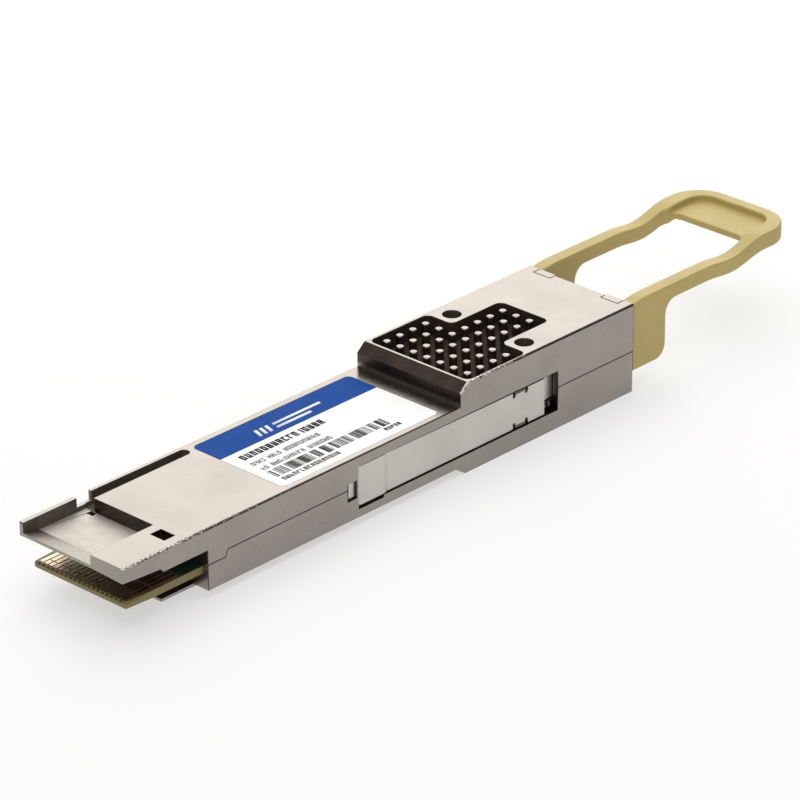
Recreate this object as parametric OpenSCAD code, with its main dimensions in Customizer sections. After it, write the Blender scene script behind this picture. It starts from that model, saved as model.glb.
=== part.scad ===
// Pluggable optical transceiver module with a pin-fin heat sink, an optical port
// and a pull tab that slides a sprung release frame.
// X runs from the card-edge nose to the pull tab, Y is across, Z is up.
// The modules below measure X from the front of the nose, Y from the middle and
// Z from the underside of the part that enters the cage. home() then puts the
// origin at the centre of the bounding box's base.

/* [Body] */
// Width of the die-cast body
body_w = 18.35; // [18:0.05:23]
// Length of the die-cast body, from the nose to the port face
body_l = 93.3; // [90:0.1:115]
// Height of the body that enters the cage
cage_h = 8.5; // [8.3:0.05:10.5]
// Length of the raised rear body
rear_l = 33.75; // [33:0.05:42]
// Rise of the rear body above the cage part
rear_rise = 3.15; // [2.6:0.05:4.5]
// Drop of the rear body below the cage part
rear_drop = 1.15; // [0.95:0.05:1.6]
// Height of the chamfer at the front of the raised body
rear_chamfer_h = 1.2; // [0.4:0.05:2]
// Length of the chamfer at the front of the raised body
rear_chamfer_l = 1.4; // [0.4:0.05:3]
// Height of the seam between the two shells
seam_z = 4.45; // [4.2:0.05:5]
// Height of the seam beside the optical port
rear_seam_z = 4.75; // [4.2:0.05:5]
// Thickness of the floor of the lower shell
floor_t = 1.0; // [0.7:0.05:1.2]
// Thickness of the roof over the electronics
roof_t = 1.2; // [0.8:0.05:1.6]
// Thickness of the side walls near the nose
side_t = 0.82; // [0.6:0.02:0.95]

/* [Nose] */
// Length of the nose that overhangs the card edge
nose_l = 14.15; // [12:0.05:17]
// Underside of the nose behind its step
nose_under_z = 5.5; // [4.6:0.05:6]
// Length of the sunk floor in the nose
recess_l = 10.5; // [8:0.05:12]
// Height of the sunk floor
recess_z = 6.6; // [6.5:0.05:7.5]
// Edge of the sunk floor on the solid rail's side
recess_y0 = -3.5; // [-5:0.1:0]
// Edge of the sunk floor on the thin wall's side
recess_y1 = 8.5; // [7.5:0.05:8.6]
// Length of the ramp that rises to the front lip
lip_run = 2.7; // [1:0.1:3]
// Height of the top of the front lip
lip_z = 7.07; // [6.9:0.01:7.4]
// Thickness of the front lip
lip_t = 0.4; // [0.15:0.01:0.6]
// Length of the groove along the thin wall
groove_l = 27.5; // [20:0.5:30]
// Width of that groove
groove_w = 1.6; // [1:0.05:2]
// Height of the lower front edge of the solid rail at the outer side
rail_front_z = 6.43; // [6.2:0.01:6.8]

/* [Heat sink] */
// Diameter of a heat-sink pin
pin_d = 1.05; // [0.7:0.05:1.4]
// Distance between pin columns along the body
pin_pitch_x = 2.456; // [2:0.01:3]
// Distance between pin rows across the body
pin_pitch_y = 2.37; // [1.8:0.01:2.6]
// Number of pin columns in the middle rows
pin_columns = 8; // [4:1:8]
// Number of pin columns in the outer rows
pin_columns_side = 4; // [2:1:4]
// Depth of the pocket that the pins stand in
fin_pocket_d = 2.75; // [1.5:0.05:3]
// Half width of the narrow end of the pocket
fin_pocket_half = 4.35; // [3:0.05:5]
// Thickness of the wall beside the pocket
fin_wall_t = 0.42; // [0.3:0.02:0.8]

/* [Optical port] */
// Width of the plug cavity
port_w = 12.7; // [12.5:0.05:13]
// Height of the plug cavity
port_h = 7.9; // [7.6:0.05:8.1]
// Height of the port's centre line
port_z = 5.25; // [5:0.05:5.5]
// Depth of the port insert
port_d = 10.1; // [9:0.05:10.5]
// Wall of the port insert
port_t = 0.55; // [0.4:0.05:0.6]
// Diameter of a guide pin
guide_d = 0.7; // [0.6:0.01:0.8]
// Distance between the guide pins
guide_pitch = 4.6; // [4.4:0.05:4.8]
// Length of guide pin that stands out of the ferrule
guide_free_l = 2.2; // [1.5:0.1:2.5]

/* [Card] */
// Width of the card edge
card_w = 16.4; // [15:0.1:16.4]
// Width of the card between the release arms
card_w_in = 14.6; // [12:0.1:14.8]
// Thickness of the card
card_t = 1.0; // [0.8:0.05:1.2]
// Height of the card's underside
card_z = 2.05; // [1.9:0.05:2.2]
// Distance from the nose front to the card edge
card_x = 1.2; // [0.8:0.1:3]
// Distance between contact pads
pad_pitch = 0.8; // [0.6:0.01:0.85]
// Number of pads in a row
pad_count = 19; // [10:3:19]

/* [Release] */
// Thickness of the release frame's sheet metal
sheet_t = 0.45; // [0.3:0.01:0.5]
// Depth of the side window that the release arm lies in
window_d = 0.75; // [0.72:0.01:0.85]
// Distance from the nose front to the side window
window_x = 40.65; // [38:0.05:44]
// Distance from the port face back to the end of the window
window_back = 15.0; // [14.5:0.05:16]
// Bottom of the side window
window_z = 1.45; // [1.3:0.05:1.6]
// Height of the side window
window_h = 5.7; // [5.2:0.05:5.8]
// Travel of the release frame
travel = 2.2; // [1.5:0.1:2.3]
// Clearance between the release frame and the housing
slide_gap = 0.1; // [0.05:0.01:0.15]
// Outer diameter of a return spring
spring_d = 0.9; // [0.7:0.05:1]
// Wire diameter of a return spring
spring_wire = 0.16; // [0.12:0.01:0.2]

/* [Pull tab] */
// Reach of the pull tab behind the port face
tab_reach = 34.3; // [28:0.1:42]
// Distance from the side of the body in to the side of the pull tab
tab_inset = 0.075; // [0:0.005:0.2]
// Width of one arm of the pull tab
tab_arm_w = 2.1; // [1.85:0.05:2.15]
// Height of the arm's top above the raised body
tab_over = 0.2; // [0:0.05:0.5]
// Vertical thickness of the arms
tab_arm_t = 2.15; // [1.6:0.05:2.6]
// Dip of the arms in the middle of their length
tab_dip = 0.4; // [0:0.05:0.8]
// Rise of the grip above the arms
tab_rise = 0.95; // [0.4:0.05:1.4]
// Length of the grip end
grip_l = 7.95; // [6:0.05:10]
// Thickness of the grip's rim
grip_rim_t = 2.4; // [1.8:0.05:3]
// Width of the rim at the end of the grip
grip_rim_w = 1.85; // [1.2:0.05:2.5]
// Thickness of the thumb plate inside the rim
grip_plate_t = 0.95; // [0.6:0.05:1.4]
// Depth of the thumb recess below the rim
grip_recess = 0.95; // [0.4:0.05:1.2]
// Corner radius of the grip in plan
grip_r = 5.2; // [3:0.1:7]

/* [Label] */
// Length of the label
label_l = 28.3; // [20:0.1:30]
// Width of the label
label_w = 16.1; // [12:0.02:16.6]
// Distance from the nose front to the label
label_x = 28.4; // [28:0.1:30]
// Thickness of the label and depth of its recess
label_t = 0.1; // [0.05:0.01:0.2]

/* [Hidden] */
$fn = 48;
eps = 0.01;

half_w = body_w / 2;
total_l = body_l + tab_reach;
top_z = cage_h + rear_rise;
rear_x = body_l - rear_l;
drop_x0 = rear_x - 0.95;
drop_x1 = rear_x + 0.85;

// Nose
skirt_z = 3.5;
skirt_l = 3.0;
skirt_ramp = 0.4;
nose_step_x = 6.2;
nose_step_z = 6.04;
nose_step_l = 0.5;
lip_under_x = 3.0;
lip_under_z = 6.2;
notch_x0 = 9.05;
notch_x1 = 11.6;
notch_z = 7.2;
square_hole_x0 = 8.55;
square_hole_x1 = 10.4;
square_hole_y0 = 5.0;
square_hole_y1 = 7.48;
small_hole_x0 = 9.6;
small_hole_y0 = 6.4;
small_hole_y1 = 7.3;

// Card and electronics bay
card_top = card_z + card_t;
card_fit = 0.1;
front_wall_l = 1.25;
bay_x0 = nose_l + front_wall_l;
bay_step_x = window_x - 2.65;
bay_high_x = bay_x0 + 15.6;
bay_x1 = rear_x + 7.95;
bay_half = half_w - side_t;
window_y = half_w - window_d;
inner_wall_t = 0.87;
bay_half_in = window_y - inner_wall_t;
ledge_w = 0.9;
card_end_x = bay_x1 - 1.5;
card_step_x = bay_step_x - 1.5;
optics_half = 4.6;
optics_roof_z = top_z - fin_pocket_d - roof_t;
tongue_l = 5.95;
tongue_t = 0.4;
pad_t = 0.04;
label_r = 0.8;
post_l = 1.2;

// Chips and optics
processor_x = window_x + 1.35;
processor_w = 12;
processor_t = 1.5;
processor_pad_t = 0.5;
driver_x = rear_x - 3.85;
driver_l = 2.6;
driver_w = 3.6;
driver_t = 0.35;
driver_y = 2.5;
driver_pad_t = 0.8;
control_x = rear_x - 8.2;
rail_pitch = 4.8;
array_x = rear_x + 0.6;
array_y = 1.9;
array_w = 2.9;
array_l = 0.35;
array_t = 0.2;
lens_x0 = rear_x - 0.9;
lens_x1 = lens_x0 + 5;
lens_half = 4;
lens_top = card_top + 2.6;
ribbon_z0 = card_top + 1.35;

// Heat sink
pocket_x0 = rear_x + 1.8;
pocket_wide_x = rear_x + 12.95;
pocket_x1 = rear_x + 22.4;
pocket_r = 1;
pin_x0 = rear_x + 3.49;

// Optical port
retainer_t = 0.4;
retainer_edge = 0.55;
retainer_drop = 0.45;
retainer_fit = 0.05;
lug_y = 4.5;
lug_l = 1.35;
lug_t = 0.35;
port_x0 = body_l - port_d - retainer_t;
port_half_w = port_w / 2 + port_t;
port_half_h = port_h / 2 + port_t;
port_back_t = 1.4;
port_inner_x = port_x0 + port_back_t;
hook_base_t = 0.8;
hook_l = 5.4;
hook_t = 0.6;
hook_h = 2.4;
hook_y = 5.15;
ferrule_w = 6.4;
ferrule_h = 2.45;
ferrule_l = 8.0;
ferrule_face = port_inner_x + hook_base_t + 0.6;
ferrule_x0 = ferrule_face - ferrule_l;
ferrule_shoulder = 0.4;
ferrule_fit = 0.05;
held_d = guide_d + 0.4;
keeper_l = 0.9;
boot_l = 3.0;
ribbon_w = 3.1;
ribbon_t = 0.32;

// Screws
screw_x = rear_x + 15.15;
screw_y = half_w - 2.775;
screw_hole_d = 2.6;
screw_head_d = 2.4;
screw_head_h = 1.0;
screw_shank_d = 1.5;
screw_seat_z = 8.0;
screw_tip_z = 1.2;

// Release frame
window_x1 = body_l - window_back;
arm_y = window_y + slide_gap - 0.02;
arm_x0 = window_x + slide_gap;
arm_x1 = window_x1 - travel - 0.2;
arm_z0 = window_z + 0.15;
arm_z1 = window_z + window_h - 0.25;
hump_l = 4.6;
hump_rise = 0.2;
hump_ramp = 0.8;
tip_x0 = window_x - 1.5;
tip_slot_x0 = window_x - 1.95;
tip_slot_x1 = window_x - 0.35;
tip_z0 = window_z + 1.5;
tip_z1 = tip_z0 + 2.2;
bar_t = 0.25;
strap_y = window_y - 0.725;
strap_z0 = window_z + 1.65;
strap_z1 = arm_z1 - 0.5;
strap_gap = 0.15;
strap_end_x = body_l + 5.7;
bridge_x0 = body_l - 6.8;
bridge_l = 4.5;
bridge_z = -rear_drop + 0.6;
foot_x0 = arm_x1 - 5.6;
foot_l = 2.0;
foot_notch = 0.4;
foot_notch_h = 0.6;
spring_y = window_y - 0.525;
spring_z = window_z + 0.8;
spring_pocket_half = spring_d / 2 + 0.15;
spring_x0 = foot_x0 + foot_l + 0.02;
spring_x1 = window_x1 - 0.02;
spring_turns = 7;

// Pull tab
tab_x0 = body_l + 0.15;
tab_x1 = body_l + tab_reach;
tab_half = half_w - tab_inset;
tab_inner = tab_half - tab_arm_w;
tab_top = top_z + tab_over;
root_l = 6.65;
root_z = 1.7;
root_r = 2.0;
root_top_drop = 0.65;
root_top_run = 3.0;
dip_x0 = body_l + 15.5;
dip_x1 = body_l + 20.4;
rise_x1 = body_l + 27.6;
tab_window_r = 2.2;
thumb_edge = 2.6;
thumb_r = 2.6;
grip_x0 = tab_x1 - grip_l;
grip_top = tab_top + tab_rise;

// Smooth step from 0 to 1 as x goes from a to b
function ease(x, a, b) = x <= a ? 0 : x >= b ? 1 : (1 - cos(180 * (x - a) / (b - a))) / 2;
// Points on an arc about [cx, cy] from angle a0 to a1 in n steps
function arc(cx, cy, r, a0, a1, n) =
  [for (i = [0:n]) [cx + r * cos(a0 + (a1 - a0) * i / n), cy + r * sin(a0 + (a1 - a0) * i / n)]];
// Height of the top of a thermal pad on a chip
function pad_top(part_t, pad_t) = card_top + part_t + pad_t;
// Height of the pull tab's top edge at x
function tab_top_at(x) =
  tab_top - tab_dip * ease(x, dip_x0, dip_x1)
  + (tab_dip + tab_rise) * ease(x, dip_x1, rise_x1)
  - root_top_drop * (1 - ease(x, tab_x0 - root_top_run, tab_x0 + root_top_run));
// Height of the pull tab's lower edge at x
function tab_under_at(x) =
  tab_top - tab_arm_t - tab_dip * ease(x, dip_x0, dip_x1)
  + (tab_dip + tab_rise + tab_arm_t - grip_rim_t) * ease(x, dip_x1, rise_x1);

// Puts the finished part over its origin
module home() translate([-total_l / 2, 0, rear_drop]) children();

// Extrudes an X-Z outline across the body, from y0 to y1
module across(y0, y1) translate([0, y1, 0]) rotate([90, 0, 0]) linear_extrude(height = y1 - y0) children();

// Box between two corners
module block(p, q) translate(p) cube(q - p);

// Box that is as wide on both sides of the middle plane
module slab(x0, x1, half, z0, z1) block([x0, -half, z0], [x1, half, z1]);

// Copies its children to both sides
module both_sides() {
  children();
  mirror([0, 1, 0]) children();
}

// Rectangle with rounded corners in plan, from x0 to x1
module round_plan(x0, x1, half, r) {
  length = x1 - x0;
  translate([x0 + r, -half]) square([length - 2 * r, 2 * half]);
  translate([x0, -half + r]) square([length, 2 * half - 2 * r]);
  for (x = [x0 + r, x1 - r], y = [-half + r, half - r]) translate([x, y]) circle(r);
}

// ---- Housing ----

// Side outline of the body behind the nose
module body_outline() polygon([
  [nose_l, 0], [drop_x0, 0], [drop_x1, -rear_drop], [body_l, -rear_drop],
  [body_l, top_z], [rear_x + rear_chamfer_l, top_z], [rear_x, top_z - rear_chamfer_h],
  [rear_x, cage_h], [nose_l, cage_h]
]);

// Region above the seam
module above_seam() across(-body_w, body_w) polygon([
  [nose_l - 1, skirt_z], [nose_l + skirt_l, skirt_z], [nose_l + skirt_l + skirt_ramp, seam_z],
  [window_x1, seam_z], [window_x1 + 0.2, rear_seam_z], [body_l + 1, rear_seam_z],
  [body_l + 1, top_z + 1], [nose_l - 1, top_z + 1]
]);

// Everything that is hollow inside the closed housing
module cavities() {
  bay_roof = cage_h - roof_t;
  // Slot that the card passes through
  slab(nose_l - 1, bay_x0 + eps, card_w / 2 + card_fit, card_z - card_fit, card_top + card_fit);
  // Bay above and below the card, wide near the nose
  slab(bay_x0, bay_step_x, bay_half, card_z, nose_under_z);
  slab(bay_x0, bay_step_x, bay_half - ledge_w, floor_t, card_z + eps);
  // Bay between the release arms
  slab(bay_high_x, bay_x1, bay_half_in, card_z, bay_roof);
  slab(bay_high_x, bay_x1, bay_half_in - ledge_w, floor_t, card_z + eps);
  // Passage of the fibre ribbon and the ferrule
  slab(bay_x1 - eps, port_x0 + eps, optics_half, floor_t, optics_roof_z);
  // Seat of the port insert
  block([port_x0, -port_half_w, port_z - port_half_h], [body_l + 1, port_half_w, port_z + port_half_h]);
  // Recess of the port retainer
  retainer_seat();
  // Channels of the release frame
  both_sides() release_channel();
  slab(bridge_x0 - 0.2, body_l + 1, strap_y + sheet_t + strap_gap,
       bridge_z - strap_gap, port_z - port_half_h + eps);
}

module retainer_seat() {
  half = port_half_w + retainer_edge;
  block([body_l - retainer_t, -half, port_z - port_half_h - retainer_drop], [body_l + 1, half, top_z + 1]);
  both_sides() block([body_l - lug_l, lug_y, top_z - lug_t], [body_l, half, top_z + 1]);
}

// Window and hidden channel on the +Y side
module release_channel() {
  strap_out = strap_y + sheet_t + strap_gap;
  block([window_x, window_y, window_z], [window_x1, half_w + 1, window_z + window_h]);
  // Slot of the frame's tip, under a thin bar
  block([tip_slot_x0, window_y, tip_z0 - 0.1], [window_x + eps, half_w - bar_t, tip_z1 + 0.1]);
  block([tip_slot_x0, window_y, tip_z0 - 0.1], [tip_slot_x1, half_w + 1, tip_z1 + 0.1]);
  // Dark slot under the hump
  block([window_x, window_y, window_z - 0.35], [window_x + hump_l, half_w + 1, window_z + eps]);
  // Channel of the strap, out through the port face
  block([arm_x1 - sheet_t - strap_gap, strap_y - strap_gap, strap_z0 - strap_gap],
        [window_x1 + eps, window_y + eps, strap_z1 + strap_gap]);
  block([window_x1, strap_y - strap_gap, strap_z0 - strap_gap],
        [body_l + 1, strap_out, strap_z1 + strap_gap]);
  // Channel of the leg that carries the bridge
  block([bridge_x0 - 0.2, strap_y - strap_gap, bridge_z - strap_gap],
        [body_l + 1, strap_out, strap_z0]);
  // Pocket of the spring and of the foot that presses on it
  block([foot_x0 - 0.1, spring_y - spring_pocket_half, spring_z - spring_pocket_half - 0.2],
        [window_x1, window_y + eps, spring_z + spring_pocket_half]);
  // Pocket of the upper foot
  block([foot_x0 - 0.1, window_y - 0.55, arm_z1 - sheet_t - 0.1],
        [foot_x0 + foot_l + travel + 0.1, window_y + eps, arm_z1 + 0.1]);
}

// Pocket around the heat-sink pins, rounded where it passes the screw bosses
module fin_pocket() translate([0, 0, top_z - fin_pocket_d]) linear_extrude(height = fin_pocket_d + 1) {
  round_plan(pocket_x0, pocket_wide_x, half_w - fin_wall_t, pocket_r);
  round_plan(pocket_x0 + pocket_r, pocket_x1, fin_pocket_half, pocket_r);
  both_sides() difference() {
    translate([pocket_wide_x - eps, fin_pocket_half - eps]) square(pocket_r + eps);
    translate([pocket_wide_x + pocket_r, fin_pocket_half + pocket_r]) circle(pocket_r);
  }
}

module heat_pins() {
  for (row = [-3:3]) {
    columns = abs(row) <= 1 ? pin_columns : pin_columns_side;
    for (i = [0:columns - 1])
      translate([pin_x0 + pin_pitch_x * i, pin_pitch_y * row, top_z - fin_pocket_d - eps])
        cylinder(h = fin_pocket_d + eps, d = pin_d, $fn = 24);
  }
}

module screw_passages() {
  for (y = [-screw_y, screw_y]) translate([screw_x, y, 0]) {
    translate([0, 0, screw_seat_z]) cylinder(h = top_z, d = screw_hole_d);
    translate([0, 0, seam_z - 1]) cylinder(h = screw_seat_z - seam_z + 1 + eps, d = screw_shank_d + 0.3);
  }
}

// Solid of the nose, before its recess is cut
module nose_block() {
  across(-half_w, half_w) polygon([
    [0, lip_z - lip_t], [lip_under_x, lip_under_z], [nose_step_x, nose_step_z],
    [nose_step_x + nose_step_l, nose_under_z], [nose_l + 1, nose_under_z],
    [nose_l + 1, cage_h], [0, cage_h]
  ]);
  // Wedge that lowers the rail's outer front edge
  polyhedron(
    points = [[0, recess_y0, lip_z - lip_t], [0, -half_w, rail_front_z],
              [0, -half_w, lip_z], [lip_under_x, -half_w, lip_under_z]],
    faces = [[0, 2, 1], [1, 2, 3], [0, 1, 3], [0, 3, 2]]
  );
}

module nose_cuts() {
  across(recess_y0, recess_y1) polygon([
    [-1, lip_z], [0, lip_z], [lip_run, recess_z], [recess_l, recess_z],
    [recess_l, cage_h + 1], [-1, cage_h + 1]
  ]);
  // Groove along the thin wall, with a round end
  groove_y = recess_y1 + 0.1 - groove_w;
  block([recess_l - eps, groove_y, recess_z], [groove_l - groove_w / 2, groove_y + groove_w, cage_h + 1]);
  translate([groove_l - groove_w / 2, groove_y + groove_w / 2, recess_z])
    cylinder(h = cage_h, d = groove_w);
  // Notch in the thin wall
  block([notch_x0, recess_y1 - 0.5, notch_z], [notch_x1, half_w + 1, cage_h + 1]);
  // Small through holes
  block([square_hole_x0, -square_hole_y1, 0], [square_hole_x1, -square_hole_y0, cage_h + 1]);
  block([small_hole_x0, small_hole_y0, 0], [recess_l - 0.15, small_hole_y1, cage_h + 1]);
}

module label_recess() translate([0, 0, cage_h - label_t]) linear_extrude(height = 1)
  round_plan(label_x - 0.05, label_x + label_l + 0.05, label_w / 2 + 0.05, label_r);

// Posts that hold the card down, and the pads that touch the hot chips
module roof_posts() {
  bay_roof = cage_h - roof_t;
  for (x = [bay_x0 + 2.6, bay_step_x - 4]) both_sides()
    block([x, bay_half - ledge_w, card_top], [x + post_l, bay_half - 0.05, nose_under_z + eps]);
  for (x = [bay_step_x + 12, bay_x1 - 4]) both_sides()
    block([x, bay_half_in - ledge_w, card_top], [x + post_l, bay_half_in - 0.05, bay_roof + eps]);
  slab(processor_x - processor_w / 2, processor_x + processor_w / 2, processor_w / 2,
       pad_top(processor_t, processor_pad_t), bay_roof + eps);
  slab(driver_x - driver_l / 2, driver_x + driver_l / 2, driver_y + driver_w / 2 + 0.3,
       pad_top(driver_t, driver_pad_t), bay_roof + eps);
}

module top_shell() color([0.86, 0.83, 0.80]) {
  difference() {
    union() {
      intersection() {
        across(-half_w, half_w) body_outline();
        above_seam();
      }
      nose_block();
    }
    cavities();
    nose_cuts();
    label_recess();
    fin_pocket();
    screw_passages();
  }
  heat_pins();
  roof_posts();
}

module bottom_shell() color([0.80, 0.77, 0.73]) {
  difference() {
    across(-half_w, half_w) body_outline();
    above_seam();
    cavities();
    emi_gasket();
    for (y = [-screw_y, screw_y])
      translate([screw_x, y, screw_tip_z]) cylinder(h = top_z, d = screw_shank_d);
  }
  // Tongue under the card edge
  slab(nose_l - tongue_l, nose_l + eps, half_w - 2.175, 0, tongue_t);
}

module housing_screws() color([0.30, 0.28, 0.27]) {
  socket_d = 1.1;
  for (y = [-screw_y, screw_y]) translate([screw_x, y, 0]) difference() {
    union() {
      translate([0, 0, screw_seat_z]) cylinder(h = screw_head_h, d = screw_head_d);
      translate([0, 0, screw_tip_z]) cylinder(h = screw_seat_z - screw_tip_z + eps, d = screw_shank_d);
    }
    translate([0, 0, screw_seat_z + 0.4]) cylinder(h = screw_head_h, d = socket_d, $fn = 6);
  }
}

// Conductive beads in the rim of the lower shell
module emi_gasket() color([0.25, 0.25, 0.26]) {
  bead = 0.4;
  bead_h = 0.3;
  front_y = (bay_half + half_w) / 2;
  inner_y = (bay_half_in + window_y) / 2;
  both_sides() {
    block([nose_l + skirt_l + 1, front_y - bead / 2, seam_z - bead_h],
          [bay_step_x - 0.6, front_y + bead / 2, seam_z]);
    block([window_x + 0.4, inner_y - bead / 2, seam_z - bead_h], [bay_x1, inner_y + bead / 2, seam_z]);
  }
}

// Absorber strips above and below the card, just inside the front wall
module front_emi_strips() color([0.18, 0.18, 0.19]) {
  strip_l = 1.1;
  slab(bay_x0, bay_x0 + strip_l, card_w / 2, card_top, nose_under_z);
  slab(bay_x0, bay_x0 + strip_l, bay_half - ledge_w - 0.05, floor_t, card_z);
}

// ---- Card and electronics ----

module card_plan() {
  corner_r = 0.45;
  hull() {
    for (y = [corner_r - card_w / 2, card_w / 2 - corner_r])
      translate([card_x + corner_r, y]) circle(r = corner_r);
    translate([card_step_x - 1, -card_w / 2]) square([1, card_w]);
  }
  translate([card_step_x - eps, -card_w_in / 2]) square([card_end_x - card_step_x + eps, card_w_in]);
}

module paddle_card() color([0.42, 0.38, 0.20])
  translate([0, 0, card_z]) linear_extrude(height = card_t) card_plan();

// Ground pads run the whole length, signal pads are split by a gap
module pad_row() {
  pad_w = 0.56;
  pad_x0 = card_x + 0.5;
  short_l = 0.85;
  gap_l = 0.2;
  long_l = 3.1;
  rear_row_x = card_x + 5.2;
  for (i = [0:pad_count - 1]) {
    y = (i - (pad_count - 1) / 2) * pad_pitch;
    ground = i % 3 == 0;
    translate([0, y - pad_w / 2]) {
      if (ground) translate([pad_x0, 0]) square([short_l + gap_l + long_l, pad_w]);
      else {
        translate([pad_x0, 0]) square([short_l, pad_w]);
        translate([pad_x0 + short_l + gap_l, 0]) square([long_l, pad_w]);
      }
      translate([rear_row_x, 0]) square([long_l + short_l, pad_w]);
    }
  }
}

module contact_pads_top() color([0.85, 0.68, 0.32])
  translate([0, 0, card_top]) linear_extrude(height = pad_t) pad_row();

module contact_pads_bottom() color([0.85, 0.68, 0.32])
  translate([0, 0, card_z - pad_t]) linear_extrude(height = pad_t) pad_row();

// A chip that stands on the card, centred on [x, y]
module chip(x, y, size) translate([x - size[0] / 2, y - size[1] / 2, card_top]) cube(size);

module signal_processor() color([0.13, 0.14, 0.15])
  chip(processor_x, 0, [processor_w, processor_w, processor_t]);

module processor_thermal_pad() color([0.62, 0.66, 0.70])
  translate([0, 0, processor_t]) chip(processor_x, 0, [processor_w - 1, processor_w - 1, processor_pad_t]);

module laser_driver() color([0.35, 0.35, 0.42])
  chip(driver_x, -driver_y, [driver_l, driver_w, driver_t]);

module receiver_amplifier() color([0.35, 0.35, 0.42])
  chip(driver_x, driver_y, [driver_l, driver_w, driver_t]);

module driver_thermal_pad() color([0.62, 0.66, 0.70])
  translate([0, 0, driver_t]) chip(driver_x, 0, [driver_l - 0.2, 2 * driver_y + driver_w, driver_pad_t]);

module laser_array() color([0.55, 0.50, 0.35])
  chip(array_x, -array_y, [array_l, array_w, array_t]);

module photodiode_array() color([0.50, 0.52, 0.58])
  chip(array_x, array_y, [array_l, array_w, array_t]);

// Moulded lens piece that stands over the two arrays on its side rails
module lens_block() color([0.80, 0.55, 0.20, 0.8]) difference() {
  slab(lens_x0, lens_x1, lens_half, card_top, lens_top);
  slab(lens_x0 + 0.5, lens_x1 - 0.5, lens_half - 0.5, card_top - eps, card_top + 0.8);
  slab(lens_x0 + 2.6, lens_x1 + 1, ribbon_w / 2 + 0.05, ribbon_z0 - ribbon_t / 2, lens_top + 1);
}

module ribbon_clamp() color([0.20, 0.20, 0.22])
  slab(lens_x0 + 2.7, lens_x1 - 0.1, ribbon_w / 2, ribbon_z0 + ribbon_t / 2, lens_top);

// Twelve-fibre ribbon, rising from the lens piece to the ferrule
module fibre_ribbon() color([0.45, 0.70, 0.78]) {
  steps = 20;
  x0 = lens_x0 + 2.6;
  bend_x0 = lens_x1 + 0.3;
  bend_x1 = ferrule_x0 - keeper_l - boot_l - 0.3;
  x1 = ferrule_x0 + 1.5;
  centre = [for (i = [0:steps]) let (x = bend_x0 + (bend_x1 - bend_x0) * i / steps)
    [x, ribbon_z0 + (port_z - ribbon_z0) * ease(x, bend_x0, bend_x1)]];
  line = concat([[x0, ribbon_z0]], centre, [[x1, port_z]]);
  n = len(line);
  across(-ribbon_w / 2, ribbon_w / 2) polygon(concat(
    [for (i = [0:n - 1]) line[i] + [0, ribbon_t / 2]],
    [for (i = [n - 1:-1:0]) line[i] - [0, ribbon_t / 2]]
  ));
}

// Opening for the ribbon through the pieces behind the ferrule
module ribbon_way(x0, x1) slab(x0, x1, ribbon_w / 2, port_z - ribbon_t / 2, port_z + ribbon_t / 2);

module ferrule_boot() color([0.15, 0.15, 0.16]) difference() {
  boot_half = 2.1;
  boot_half_h = 0.9;
  slab(ferrule_x0 - keeper_l - boot_l, ferrule_x0 - keeper_l, boot_half,
       port_z - boot_half_h, port_z + boot_half_h);
  ribbon_way(ferrule_x0 - keeper_l - boot_l - 1, ferrule_x0);
}

// Two rods at the places of the guide pins, from x0 to x1
module guide_rods(x0, x1, d) for (y = [-guide_pitch / 2, guide_pitch / 2])
  translate([x0, y, port_z]) rotate([0, 90, 0]) cylinder(h = x1 - x0, d = d);

module pin_keeper() color([0.62, 0.62, 0.60]) difference() {
  slab(ferrule_x0 - keeper_l, ferrule_x0, ferrule_w / 2 + ferrule_shoulder,
       port_z - ferrule_h / 2 - 0.2, port_z + ferrule_h / 2 + 0.2);
  guide_rods(ferrule_x0 - keeper_l + 0.3, ferrule_x0 + 1, held_d);
  ribbon_way(ferrule_x0 - keeper_l - 1, ferrule_x0 + 1);
}

module mt_ferrule() color([0.24, 0.23, 0.22]) {
  fibre_slot_l = 1.5;
  difference() {
    union() {
      slab(ferrule_x0, ferrule_face, ferrule_w / 2, port_z - ferrule_h / 2, port_z + ferrule_h / 2);
      slab(ferrule_x0, ferrule_x0 + 2, ferrule_w / 2 + ferrule_shoulder,
           port_z - ferrule_h / 2 - ferrule_shoulder, port_z + ferrule_h / 2 + ferrule_shoulder);
    }
    guide_rods(ferrule_x0 - 1, ferrule_face + 1, held_d);
    ribbon_way(ferrule_x0 - 1, ferrule_x0 + fibre_slot_l);
  }
}

// Each pin has a thicker shank where the ferrule holds it
module guide_pins() color([0.80, 0.80, 0.82]) {
  guide_rods(ferrule_x0 - keeper_l + 0.3, ferrule_face, held_d);
  guide_rods(ferrule_face - eps, ferrule_face + guide_free_l, guide_d);
}

// Saddle that fixes the ferrule in the passage
module ferrule_holder() color([0.16, 0.16, 0.17]) difference() {
  slab(ferrule_x0 + 2, port_x0, optics_half - 0.05, floor_t, optics_roof_z - 0.05);
  slab(ferrule_x0 + 1, port_x0 + 1, ferrule_w / 2 + ferrule_fit,
       port_z - ferrule_h / 2 - ferrule_fit, port_z + ferrule_h / 2 + ferrule_fit);
}

// ---- Optical port ----

module port_insert() color([0.10, 0.10, 0.11]) difference() {
  key_w = 2.6;
  key_h = 0.35;
  mouth_x = body_l - retainer_t;
  slab(port_x0, mouth_x, port_half_w, port_z - port_half_h, port_z + port_half_h);
  slab(port_inner_x, mouth_x + 1, port_w / 2, port_z - port_h / 2, port_z + port_h / 2);
  slab(port_x0 - 1, port_inner_x + eps, ferrule_w / 2 + 0.3,
       port_z - ferrule_h / 2 - 0.3, port_z + ferrule_h / 2 + 0.3);
  slab(port_inner_x + 2, mouth_x + 1, key_w / 2, port_z, port_z + port_h / 2 + key_h);
}

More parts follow.
